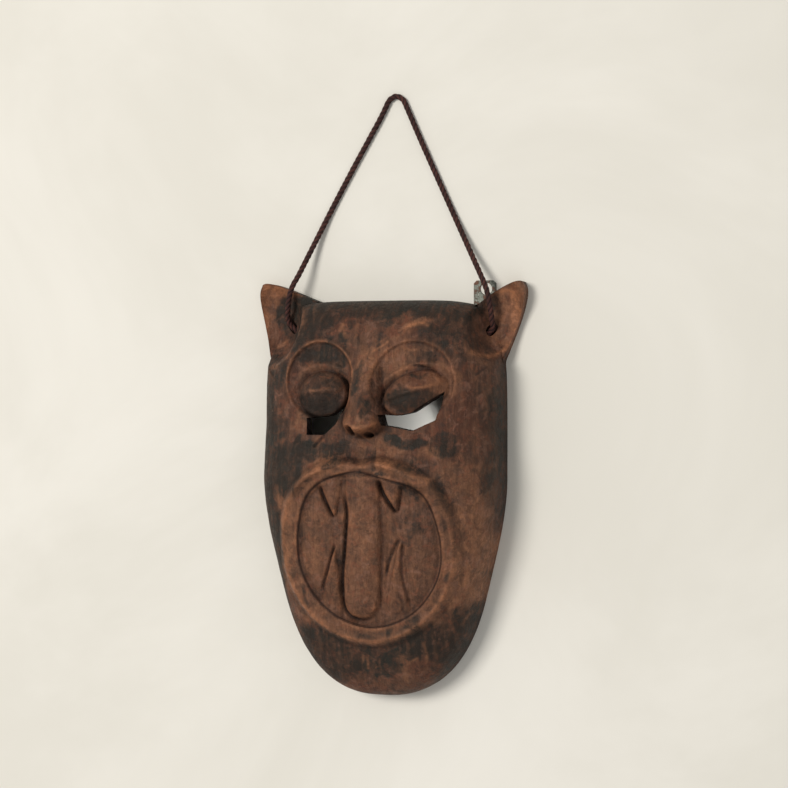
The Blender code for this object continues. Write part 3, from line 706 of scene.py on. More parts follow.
def redness(x, y):
    """Where the stain is redder, 0 to 1."""
    patches = (
        (-0.22, 0.80, 0.22, 0.07, 0.80),
        (0.30, 0.74, 0.20, 0.05, 0.60),
        (0.62, 0.35, 0.26, 0.25, 0.70),
        (0.45, 0.545, 0.20, 0.04, 0.80),
        (-1.02, 0.86, 0.24, 0.24, 1.00),
        (-0.30, -0.94, 0.34, 0.05, 1.00),
        (0.42, -0.86, 0.12, 0.06, 0.70),
        (0.93, 0.00, 0.05, 0.50, 0.60),
        (-0.62, 0.42, 0.07, 0.22, 0.60),
        (0.10, -0.05, 0.06, 0.12, 0.50),
        (1.02, 0.80, 0.12, 0.20, 0.60),
    )
    return patchwork(x, y, patches, 61)


def rubbed_lines(x, y):
    """Lines worn light by rubbing, 0 to 1: brow edges, the lips' outer edge, ear edges and scratches."""
    a = x / HALF_WIDTH
    b = y / HALF_HEIGHT
    worn = np.zeros(x.shape)
    for brow, strength in ((LEFT_BROW, 0.90), (RIGHT_BROW, 0.32)):
        from_brow = np.hypot((a - brow[0]) / brow[2], (b - brow[1]) / brow[3])
        worn += strength * np.exp(-((from_brow - 1.01) / 0.026) ** 2) * rise(brow[1] - 0.16, brow[1], b)
    radius = mouth_radius(a, b)
    side = rise(-0.25, -0.55, b) + 0.6 * rise(0.0, -0.5, a) * rise(0.1, -0.1, b)
    worn += 0.80 * np.exp(-((radius - 0.975) / 0.036) ** 2) * np.clip(0.35 + 0.65 * side, 0.0, 1.0)
    scratches = (
        ([(0.030, 0.655), (0.080, 0.672), (0.130, 0.690), (0.170, 0.712)], 0.0009, 0.9),
        ([(0.050, 0.690), (0.100, 0.705), (0.160, 0.730)], 0.0008, 0.6),
        ([(-0.245, 0.800), (-0.225, 0.760), (-0.190, 0.715)], 0.0014, 0.8),
        ([(0.270, 0.755), (0.340, 0.785), (0.420, 0.792), (0.500, 0.775)], 0.0018, 0.9),
        ([(0.320, 0.500), (0.400, 0.486), (0.500, 0.494), (0.560, 0.515)], 0.0011, 0.8),
        ([(-0.500, 0.480), (-0.440, 0.474), (-0.360, 0.478), (-0.270, 0.490)], 0.0010, 0.8),
        ([(-0.120, 0.318), (-0.060, 0.304), (0.010, 0.302), (0.080, 0.310), (0.130, 0.332)], 0.0013, 1.0),
        ([(0.560, -0.240), (0.620, -0.260), (0.640, -0.330), (0.610, -0.420)], 0.0010, 0.5),
        ([(0.250, 0.690), (0.330, 0.665), (0.420, 0.668)], 0.0010, 0.5),
        ([(-0.060, -0.855), (-0.045, -0.815), (-0.050, -0.780)], 0.0012, 0.7),
        ([(0.420, -0.700), (0.440, -0.760), (0.430, -0.820)], 0.0013, 0.6),
        ([(0.270, -0.820), (0.330, -0.800), (0.380, -0.780)], 0.0012, 0.5),
        ([(0.700, -0.640), (0.740, -0.600), (0.790, -0.560)], 0.0010, 0.5),
        ([(0.770, 0.672), (0.860, 0.640), (0.960, 0.650), (1.050, 0.700)], 0.0018, 0.9),
        ([(-0.960, 0.690), (-0.900, 0.700), (-0.860, 0.730)], 0.0014, 0.6),
        ([(0.960, 0.800), (1.010, 0.850), (1.060, 0.880)], 0.0022, 0.6),
    )
    worn += sum(stroke(x, y, *scratch) for scratch in scratches)
    return np.clip(worn, 0.0, 1.0) * (0.55 + 0.45 * rise(-0.6, 0.4, noise(x, y, 0.006, 71)))


def outer_surface(ring, angle):
    """Points of the carved outside for chart rings and angles.

    The carving lies on the front of a dome. Beside the crown's corners the skin is drawn out into the ears,
    whose tops meet the dome in a rounded root, and then scooped from the front.
    """
    body_x, body_y = outline(angle, 0.0)
    share = np.interp(ring, SKIN_RINGS, SECTION_SHARES)
    ear_x, ear_y, pull = ear_offset(body_x, body_y)
    step = np.interp(share, SECTION_SHARES, SOLID_RINGS)
    lobe = rise(EAR_LOBE_START, EAR_LOBE_END, step)
    x = share * body_x + lobe * ear_x
    y = WIDEST_HEIGHT + share * (body_y - WIDEST_HEIGHT) + lobe * ear_y
    head = dome(x, y, face_level(y), 0.0)
    edge = 1.0 - rise(EAR_LOBE_END, 1.0, step) ** 2
    lobe_top = EAR_THICKNESS * edge
    front = rise(0.35, 0.80, head / face_level(y))
    fine = knife_lines(x, y) + worn_ridges(x, y) + round_pads(x, y)
    z = head + front * (carving(x, y) + fine) + rise(0.0, 0.5, head / face_level(y)) * gouge_marks(x, y)
    near_ear = rise(0.0, 0.04, pull) * rise(0.55, 0.75, step)
    root = 0.010 * edge
    z = z + near_ear * (soft_max(z, lobe_top, root) - root / 4 - z)
    scoop = soft_min(z, ear_hollow(x, y) + 0.0006 * tool_dishes(x, y, 0.008, 8), 0.007) + 0.0014
    z = np.where(y > WIDEST_HEIGHT, z + rise(1.0, 0.975, step) * (np.minimum(scoop, z) - z), z)
    return x, y, np.where(ring >= 1.0 - 1e-9, 0.0, np.maximum(z, 0.0))


def inner_surface(ring, angle):
    """Points of the hollow behind the face, left as the gouge left it."""
    body_x, body_y = outline(angle, SIDE_WALL)
    share = np.interp(ring, SKIN_RINGS, SECTION_SHARES)
    x = share * body_x
    y = WIDEST_HEIGHT + share * (body_y - WIDEST_HEIGHT)
    behind_mouth = 0.135 * FACE_DEPTH * rise(0.16, -0.02, y / HALF_HEIGHT)
    z = dome(x, y, face_level(y) - FRONT_WALL - behind_mouth, SIDE_WALL)
    dishes = 0.0022 * tool_dishes(x, y * 0.7, 0.013, 9) * rise(0.0, 0.3, z / FACE_DEPTH)
    return x, y, np.where(ring >= 1.0 - 1e-9, 0.0, z - dishes)


def sheet_faces(cells_across, cells_up, first, flip):
    """Corner numbers of a grid's quads, as a whole array."""
    row = cells_across + 1
    corner = first + (np.arange(cells_up)[:, None] * row + np.arange(cells_across)[None, :]).ravel()
    quads = np.stack([corner, corner + 1, corner + row + 1, corner + row], axis=1)
    return quads[:, ::-1] if flip else quads


def border(cells_across, cells_up, first):
    """Corner numbers round a grid's edge, anticlockwise from its first corner."""
    row = cells_across + 1
    bottom = np.arange(cells_across)
    right = np.arange(cells_up) * row + cells_across
    top = cells_up * row + np.arange(cells_across, 0, -1)
    left = np.arange(cells_up, 0, -1) * row
    return first + np.concatenate([bottom, right, top, left])


def blurred(field, cells):
    """A grid smoothed over a square of cells, by running sums along both ways."""
    for axis in (0, 1):
        pad = [(cells + 1, cells) if way == axis else (0, 0) for way in (0, 1)]
        total = np.cumsum(np.pad(field, pad, mode="edge"), axis=axis)
        count = field.shape[axis]
        high = np.take(total, np.arange(2 * cells + 1, 2 * cells + 1 + count), axis=axis)
        low = np.take(total, np.arange(count), axis=axis)
        field = (high - low) / (2 * cells + 1)
    return field


def make_mesh(name, points, faces):
    """A mesh from its points and its faces, each face a row of corner numbers."""
    mesh = bpy.data.meshes.new(name)
    mesh.from_pydata(points, [], faces)
    mesh.update()
    return mesh


def mark(mesh, name, domain, shares):
    """Keeps four shares for each point or corner in a colour attribute of the mesh."""
    marks = mesh.attributes.new(name, "FLOAT_COLOR", domain)
    marks.data.foreach_set("color", shares.astype(np.float32).ravel())


def make_object(name, mesh, material=None):
    """An object at the origin that shows a mesh."""
    piece = bpy.data.objects.new(name, mesh)
    bpy.context.scene.collection.objects.link(piece)
    if material:
        mesh.materials.append(material)
    return piece


def tube(path, sides, section):
    """Points and quads of a tube, and the running length of its path.

    section(turn, place along) gives the radius on every side. The frame of each ring is carried along the
    path without twist, and the two ends stay open.
    """
    ahead = np.gradient(path, axis=0)
    ahead /= np.linalg.norm(ahead, axis=1)[:, None]
    side = np.zeros_like(path)
    side[0] = np.cross(ahead[0], (0.3, 0.2, 0.9))
    for index in range(1, len(path)):
        side[index] = side[index - 1] - ahead[index] * (side[index - 1] @ ahead[index])
        side[index] /= np.linalg.norm(side[index])
    side[0] /= np.linalg.norm(side[0])
    other = np.cross(ahead, side)
    length = running_length(path)
    turn = np.arange(sides) * math.tau / sides
    radius = section(turn[None, :], length[:, None])[..., None]
    ring = np.cos(turn)[None, :, None] * side[:, None, :] + np.sin(turn)[None, :, None] * other[:, None, :]
    points = (path[:, None, :] + radius * ring).reshape(-1, 3)
    row = np.arange(len(path) - 1)[:, None] * sides
    here = np.arange(sides)[None, :]
    onward = (here + 1) % sides
    quads = np.stack([row + here, row + onward, row + sides + onward, row + sides + here], axis=-1)
    return points, quads.reshape(-1, 4), length


def rope_mesh(name, path, diameter, pitch):
    """A three-strand twisted rope: a clover section that turns once in each pitch, with fine fibres on it.

    Both its ends draw in and are closed. Its attribute keeps how far a point stands out on its strand.
    """
    def section(turn, along):
        twist = turn - math.tau * along / pitch
        strands = np.abs(np.cos(STRANDS / 2 * twist))
        ends = np.clip(np.minimum(along, along.max() - along) / (0.25 * diameter), 0.0, 1.0)
        fibres = 0.015 * np.sin(17.0 * twist + 3.0 * np.sin(along / 0.004))
        return diameter / 2 * (0.70 + 0.30 * strands ** 0.6 + fibres) * np.sqrt(1e-3 + ends * (2.0 - ends))

    points, quads, length = tube(path, CORD_SIDES, section)
    last = len(points)
    points = np.vstack([points, path[:1], path[-1:]])
    here = np.arange(CORD_SIDES)
    onward = (here + 1) % CORD_SIDES
    start_cap = np.stack([onward, here, np.full(CORD_SIDES, last)], axis=1)
    end_ring = last - CORD_SIDES
    end_cap = np.stack([end_ring + here, end_ring + onward, np.full(CORD_SIDES, last + 1)], axis=1)
    mesh = make_mesh(name, points.tolist(), quads.tolist() + start_cap.tolist() + end_cap.tolist())
    mesh.shade_smooth()
    along = np.concatenate([np.repeat(length, CORD_SIDES), [0.0, length[-1]]])
    turn = np.concatenate([np.tile(here / CORD_SIDES, len(path)), [0.0, 0.0]])
    strand = np.abs(np.cos(STRANDS / 2 * math.tau * (turn - along / pitch)))
    mark(mesh, "strand", "POINT", np.stack([strand, strand, strand, np.ones_like(strand)], axis=1))
    return mesh


def hole_line(side):
    """Outer mouth of a cord hole in its ear, and the unit direction into the hollow."""
    place = LEFT_HOLE if side < 0 else RIGHT_HOLE
    across, up, out = HOLE_SLANT
    return Vector(place), Vector((side * across, up, out)).normalized()


def knot_depth(side):
    """How far along its hole's line a knot first lies clear of the wall, in the hollow."""
    mouth, inward = hole_line(side)
    turn = np.linspace(0.0, math.tau, 33)
    radius = KNOT_DIAMETER / 2 + KNOT_PLAY
    for depth in np.arange(0.0, HALF_WIDTH, KNOT_PLAY / 4):
        centre = mouth + inward * depth
        reach = np.abs(centre.x + radius * np.cos(turn))
        if np.all(reach < half_width_at(centre.y + radius * np.sin(turn), SIDE_WALL)):
            break
    return depth


def cord_route():
    """Places the cord passes, from the left hole to the right one."""
    return [
        (-0.0814, 0.1372, 0.0140),
        (-0.0802, 0.1450, 0.0172),
        (-0.0786, 0.1530, 0.0186),
        (-0.0760, 0.1615, 0.0181),
        (-0.0714, 0.1712, 0.0152),
        (-0.0661, 0.1843, 0.0105),
        (-0.0600, 0.1986, 0.0062),
        (-0.0530, 0.2136, 0.0034),
        (-0.0449, 0.2292, 0.0024),
        (-0.0294, 0.2569, 0.0024),
        (-0.0160, 0.2801, 0.0024),
        (-0.0068, 0.2961, 0.0024),
        (-0.0028, 0.3040, 0.0024),
        (0.0005, 0.3098, 0.0024),
        (0.0060, 0.3125, 0.0024),
        (0.0115, 0.3095, 0.0024),
        (0.0145, 0.3035, 0.0024),
        (0.0182, 0.2951, 0.0024),
        (0.0254, 0.2785, 0.0024),
        (0.0361, 0.2547, 0.0024),
        (0.0488, 0.2266, 0.0024),
        (0.0561, 0.2109, 0.0034),
        (0.0637, 0.1954, 0.0062),
        (0.0708, 0.1816, 0.0105),
        (0.0775, 0.1689, 0.0152),
        (0.0826, 0.1583, 0.0181),
        (0.0851, 0.1489, 0.0186),
        (0.0862, 0.1405, 0.0172),
        (0.0865, 0.1325, 0.0140),
    ]


def cord_points(step):
    """The cord's centre line: out of the left knot, through both holes, into the right knot."""
    ends = []
    for side in (-1, 1):
        mouth, inward = hole_line(side)
        start = knot_depth(side) - KNOT_DIAMETER / 2 - GAP
        ends.append([tuple(mouth + inward * depth) for depth in (start, start / 2, 0.0)])
    return smooth_path(ends[0] + cord_route() + ends[1][::-1], step)


def drum(name, low_ring, high_ring):
    """A closed block between two rings of as many corners, anticlockwise from beyond the high ring."""
    count = len(low_ring)
    sides = [(i, (i + 1) % count, count + (i + 1) % count, count + i) for i in range(count)]
    ends = [tuple(range(count))[::-1], tuple(range(count, 2 * count))]
    return make_object(name, make_mesh(name, low_ring + high_ring, ends + sides))


def prism(name, points, low, high):
    """Upright prism over an anticlockwise outline."""
    return drum(name, [(x, y, low) for x, y in points], [(x, y, high) for x, y in points])


def rod(name, start, end, diameter):
    """Straight round bar between two points."""
    turn = (end - start).to_track_quat("Z", "Y")
    ring = [turn @ Vector((math.cos(step), math.sin(step), 0.0)) * diameter / 2
            for step in np.arange(HOLE_SIDES) * math.tau / HOLE_SIDES]
    return drum(name, [tuple(start + point) for point in ring], [tuple(end + point) for point in ring])


def eye_opening_outline(side):
    """Straight knife cuts along the lower lid, then back under the eyeball."""
    corners = LEFT_LID + LEFT_UNDER_EYE if side < 0 else RIGHT_LID + RIGHT_UNDER_EYE
    return [(a * HALF_WIDTH, b * HALF_HEIGHT) for a, b in corners]


def plate_outline(grow):
    """Plate outline with clipped upper corners, grown by a clearance all round."""
    half = PLATE_WIDTH / 2 + grow
    top = CROWN_HEIGHT + PLATE_STANDS_OUT + grow
    bottom = CROWN_HEIGHT + PLATE_STANDS_OUT - PLATE_LENGTH - grow
    corners = [(-half, bottom), (half, bottom), (half, top - PLATE_CLIP), (half - PLATE_CLIP, top)]
    corners += [(PLATE_CLIP - half, top), (-half, top - PLATE_CLIP)]
    return [(PLATE_ACROSS + x, y) for x, y in corners]


def box_shift(outer):
    """The step across and up that brings the carved outside into the middle of the solid's box."""
    low, high = (np.array(corner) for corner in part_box("mask"))
    flat = outer.reshape(-1, 3)
    shift = ((low + high) - (flat.min(axis=0) + flat.max(axis=0))) / 2
    shift[2] = 0.0
    return shift


def wear_and_painted_shade(outer, rings):
    """Shares of worn edge and of painted shade over the outside.

    Wear lies where the skin stands higher than its surroundings, blurred near and far, and along the rubbed
    lines. Painted shade lies where it sits lower, in the knife's lines and under the left eye.
    """
    x, y, height = outer[..., 0], outer[..., 1], outer[..., 2]
    a = x / HALF_WIDTH
    b = y / HALF_HEIGHT
    broad = height - blurred(height, BROAD_CELLS)
    close = height - blurred(height, CLOSE_CELLS)
    face = rise(0.30, 0.60, height / FACE_DEPTH)
    ear = rise(1.02, 1.06, np.abs(a)) + rise(0.925, 0.95, b)
    off_ear_root = 1.0 - 0.7 * rise(0.80, 0.90, np.abs(a)) * rise(0.62, 0.70, b)
    ball = np.hypot((a - LEFT_EYE[0]) / LEFT_EYE[2], (b - LEFT_EYE[1]) / LEFT_EYE[3])

    ridge = 0.45 * np.clip(close / 0.0007, 0.0, 1.0) + 0.35 * np.clip(broad / 0.0024, 0.0, 1.0)
    ridge = ridge * np.clip(face + 0.8 * ear, 0.0, 1.0) * rise(-0.9, 0.5, noise(x, y, 0.009, 81))
    ridge = ridge * (1.0 - 0.8 * rise(1.10, 0.90, ball))
    ear_edge = 0.8 * rise(0.90, 0.93, rings) * rise(0.985, 0.96, rings) * np.clip(ear, 0.0, 1.0)
    ear_edge = ear_edge * rise(-0.8, 0.2, noise(x, y, 0.008, 83))
    ridge = np.maximum(np.maximum(ridge, rubbed_lines(x, y)), ear_edge)

    # Painted shade: the colour darkens where the skin sits lower than its surroundings, in the knife's cuts
    # and along the lip's inner line
    hollows = 0.60 * np.clip(-close / 0.0009, 0.0, 1.0) + 0.40 * np.clip(-broad / 0.0030, 0.0, 1.0)
    lip_line = np.exp(-((mouth_line(a, b) + 0.001) / 0.013) ** 2)
    cuts = np.clip(-knife_lines(x, y) / 0.0022, 0.0, 1.0) ** 1.3
    painted_shade = np.maximum(0.75 * hollows, np.maximum(lip_line, cuts)) * face * off_ear_root
    # Painted shade on the lower half of the left eyeball
    under_eye = rise(LEFT_EYE[1] + 0.015, LEFT_EYE[1] - 0.020, b) * rise(1.10, 0.95, ball)
    return ridge, np.maximum(painted_shade, under_eye * (0.35 + 0.25 * noise(x, y, 0.004, 85)))


def rim_faces(wide, narrow):
    """Triangles of the flat rim, from the outside's border to the hollow's, which has fewer corners.

    Each stretch of the outer border fans to one hollow corner for its first half and to the next one for its
    second half, and one more triangle closes the gap between the two fans.
    """
    steps = np.arange(len(narrow)) * HOLLOW_SHARE
    following = np.roll(narrow, -1)
    half = HOLLOW_SHARE // 2
    faces = []
    for part in range(HOLLOW_SHARE):
        onward = wide[(steps + part + 1) % len(wide)]
        faces.append(np.stack([onward, wide[steps + part], narrow if part < half else following], axis=1))
    faces.append(np.stack([wide[steps + half], narrow, following], axis=1))
    return np.vstack(faces)


def cut_openings(blank, shift):
    """The blank's mesh with the plate's seat, the eyes' openings and the cord's holes cut out of it."""
    hole = CORD_DIAMETER + CORD_HOLE_PLAY
    tools = [prism("plate_seat", plate_outline(GAP), -0.001, PLATE_THICKNESS + GAP)]
    for side, name in SIDES:
        tools.append(prism(f"{name}_eye_cut", eye_opening_outline(side), *OPENING_SPAN))
        mouth, inward = hole_line(side)
        tools.append(rod(f"{name}_hole_cut", mouth - inward * hole, mouth + inward * knot_depth(side), hole))
    for tool in tools:
        tool.location = shift
        modifier = blank.modifiers.new(tool.name, "BOOLEAN")
        modifier.operation = "DIFFERENCE"
        modifier.object = tool
    bpy.context.view_layer.update()
    carved = bpy.data.meshes.new_from_object(blank.evaluated_get(bpy.context.evaluated_depsgraph_get()))
    for spare in [blank, *tools]:
        bpy.data.objects.remove(spare)
    return carved


def build_mask(material, outer, rings, shift):
    """The carved skin of the whole mask: outside, hollow and flat rim, with its openings cut through."""
    hollow_cells = (CELLS_ACROSS // HOLLOW_SHARE, CELLS_UP // HOLLOW_SHARE)
    inner = np.stack(inner_surface(*disc_chart(*hollow_cells)), axis=-1).reshape(-1, 3)
    points = np.vstack([outer.reshape(-1, 3), inner])
    first_inner = len(points) - len(inner)
    outside = sheet_faces(CELLS_ACROSS, CELLS_UP, 0, False)
    inside = sheet_faces(*hollow_cells, first_inner, True)
    rim = rim_faces(border(CELLS_ACROSS, CELLS_UP, 0), border(*hollow_cells, first_inner))
    low, high = (np.array(corner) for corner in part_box("mask"))
    places = np.clip(points + shift, low, high)
    mesh = make_mesh("mask_carved", places.tolist(), outside.tolist() + inside.tolist() + rim.tolist())

    x, y = outer[..., 0], outer[..., 1]
    ridge, painted_shade = wear_and_painted_shade(outer, rings)
    whole = np.ones_like(x)
    carved_marks = np.stack([ridge, painted_shade, stain(x, y), whole], axis=-1)
    tone_marks = np.stack([bare(x, y), redness(x, y), np.zeros_like(x), whole], axis=-1)
    corners = np.empty(len(mesh.loops), dtype=np.int32)
    mesh.loops.foreach_get("vertex_index", corners)
    for name, grid in (("carving", carved_marks), ("tones", tone_marks)):
        shares = np.vstack([np.clip(grid, 0.0, 1.0).reshape(-1, 4), np.zeros((len(inner), 4))])
        mark(mesh, name, "CORNER", shares[corners])

    carved = cut_openings(make_object("mask_blank", mesh, material), shift)
    carved.name = "mask_carved_skin"
    carved.shade_smooth()
    carved.set_sharp_from_angle(angle=math.radians(62.0))
    return make_object("mask_carved", carved)


def build_cord(material, shift):
    """The twisted cord from knot to knot."""
    name = "hanging_cord_twisted"
    path = cord_points(CORD_STEP) + shift
    return make_object(name, rope_mesh(name, path, CORD_DIAMETER, CORD_PITCH), material), path


def build_knot(side, name, material, shift):
    """A stopper knot: the rope led over and under itself in a closed three-leaved loop."""
    mouth, inward = hole_line(side)
    middle = np.array(mouth + inward * knot_depth(side)) + shift
    turn = np.linspace(0.0, math.tau, KNOT_POINTS)
    size = (KNOT_DIAMETER - KNOT_CORD) / 2 - KNOT_SLACK
    leaves = 1.6
    loop = np.stack([
        np.sin(turn) + leaves * np.sin(2.0 * turn),
        np.cos(turn) - leaves * np.cos(2.0 * turn),
        -1.5 * np.sin(3.0 * turn),
    ], axis=1) * size / (1.0 + leaves)
    lean = np.array(inward.to_track_quat("Z", "Y").to_matrix())
    piece_name = f"cord_knot_{name}_tied"
    mesh = rope_mesh(piece_name, middle + loop @ lean.T, KNOT_CORD, KNOT_PITCH)
    return make_object(piece_name, mesh, material)


def reach_to_outline(way, corners):
    """Distance from the middle to a convex outline along each unit way: the nearest side's line ahead."""
    reach = np.full(len(way), np.inf)
    for start, end in zip(corners, np.roll(corners, -1, axis=0)):
        normal = np.array((end[1] - start[1], start[0] - end[0]))
        toward = way @ normal
        distance = np.where(toward > 1e-9, (start @ normal) / np.maximum(toward, 1e-9), np.inf)
        reach = np.minimum(reach, distance)
    return reach


def build_plate(material, shift):
    """Sheet plate with softly rounded edges: rings round its hole, each with its radius and its height.

    They line the hole, cross the front, turn over the outer edge and come back across the back.
    """
    middle = np.array((PLATE_ACROSS + PLATE_HOLE_ASIDE, CROWN_HEIGHT + PLATE_STANDS_OUT - PLATE_HOLE_DOWN))
    turn = np.arange(PLATE_SIDES) * math.tau / PLATE_SIDES
    way = np.stack([np.cos(turn), np.sin(turn)], axis=1)
    reach = reach_to_outline(way, np.array(plate_outline(0.0)) - middle)
    hole = np.full(PLATE_SIDES, PLATE_HOLE / 2)
    inner = hole + PLATE_EDGE
    outer = reach - PLATE_EDGE
    between = [inner + share * (outer - inner) for share in (0.12, 0.35, 0.7)]
    front = PLATE_THICKNESS
    rings = [(inner, 0.0), (hole, PLATE_EDGE), (hole, front - PLATE_EDGE), (inner, front)]
    rings += [(radius, front) for radius in between]
    rings += [(outer, front), (reach, front - PLATE_EDGE), (reach, PLATE_EDGE), (outer, 0.0)]
    rings += [(radius, 0.0) for radius in reversed(between)]
    points = np.vstack([
        np.column_stack([middle + way * radius[:, None], np.full(PLATE_SIDES, height)])
        for radius, height in rings
    ])
    here = np.arange(PLATE_SIDES)[None, :]
    onward = (here + 1) % PLATE_SIDES
    row = np.arange(len(rings))[:, None] * PLATE_SIDES
    following = np.roll(row, -1, axis=0)
    quads = np.stack([row + here, following + here, following + onward, row + onward], axis=-1).reshape(-1, 4)
    mesh = make_mesh("hanger_plate_sheet", (points + shift).tolist(), quads.tolist())
    mesh.shade_smooth()
    mesh.set_sharp_from_angle(angle=math.radians(40.0))
    return make_object("hanger_plate_sheet", mesh, material)


def add(tree, kind, settings=None, **inputs):
    """One shader node, its settings, and its inputs, each a value or a socket to link.

    An input goes by its name, with _ for a space, or by its number, as in _0.
    """
    made = tree.nodes.new(kind)
    for key, value in (settings or {}).items():
        setattr(made, key, value)
    for key, value in inputs.items():
        socket = made.inputs[int(key[1:])] if key[1:].isdigit() else made.inputs[key.replace("_", " ")]
        if isinstance(value, bpy.types.NodeSocket):
            tree.links.new(value, socket)
        else:
            socket.default_value = value
    return made


def mix(tree, share, first, second):
    """Mix of two colours by a share."""
    made = tree.nodes.new("ShaderNodeMix")
    made.data_type = "RGBA"
    for index, value in ((0, share), (6, first), (7, second)):
        if isinstance(value, bpy.types.NodeSocket):
            tree.links.new(value, made.inputs[index])
        else:
            made.inputs[index].default_value = value if index == 0 else (*value, 1.0)
    return made.outputs[2]


def sums(tree, operation, first, second, clamp=False):
    """One step of arithmetic on masks."""
    settings = {"operation": operation, "use_clamp": clamp}
    return add(tree, "ShaderNodeMath", settings, _0=first, _1=second).outputs[0]


def times(tree, first, second, clamp=False):
    """A mask made weaker or stronger, or one mask inside another."""
    return sums(tree, "MULTIPLY", first, second, clamp)


def plus(tree, first, second, clamp=False):
    """Two masks together, or a mask raised by a number."""
    return sums(tree, "ADD", first, second, clamp)


def less(tree, first, second, clamp=False):
    """A mask, or a number, lowered by another."""
    return sums(tree, "SUBTRACT", first, second, clamp)


def mask_group(name, stretch, lean, detail, roughness, distortion):
    """A shader group: noise, drawn out by stretch and leaning a little, cut to a mask between two levels."""
    group = bpy.data.node_groups.new(name, "ShaderNodeTree")
    group.interface.new_socket(name="Vector", in_out="INPUT", socket_type="NodeSocketVector")
    for label in ("Scale", "Low", "High"):
        group.interface.new_socket(name=label, in_out="INPUT", socket_type="NodeSocketFloat")
    group.interface.new_socket(name="Mask", in_out="OUTPUT", socket_type="NodeSocketFloat")
    given = group.nodes.new("NodeGroupInput").outputs
    result = group.nodes.new("NodeGroupOutput").inputs
    drawn = add(group, "ShaderNodeMapping", Vector=given["Vector"], Scale=stretch, Rotation=(0.0, 0.0, lean))
    cloud = add(group, "ShaderNodeTexNoise", Vector=drawn.outputs[0], Scale=given["Scale"], Detail=detail,
                Roughness=roughness, Distortion=distortion)
    mask = add(group, "ShaderNodeMapRange", {"interpolation_type": "SMOOTHSTEP"}, Value=cloud.outputs[0],
               From_Min=given["Low"], From_Max=given["High"])
    group.links.new(mask.outputs[0], result["Mask"])
    return group


def use(tree, group, place, scale, low, high):
    """The mask that a group puts out at a place, for a scale and for the two levels it is cut between."""
    settings = {"node_tree": group}
    return add(tree, "ShaderNodeGroup", settings, Vector=place, Scale=scale, Low=low, High=high).outputs[0]


def roughen(tree, shader, height, strength, distance):
    """Bumps on the surface where the height mask rises."""
    bump = add(tree, "ShaderNodeBump", Height=height, Strength=strength, Distance=distance)
    tree.links.new(bump.outputs[0], shader.inputs["Normal"])


def new_material(name):
    """A material, its node tree and its Principled shader."""
    material = bpy.data.materials.new(name)
    material.use_nodes = True
    return material, material.node_tree, material.node_tree.nodes["Principled BSDF"]


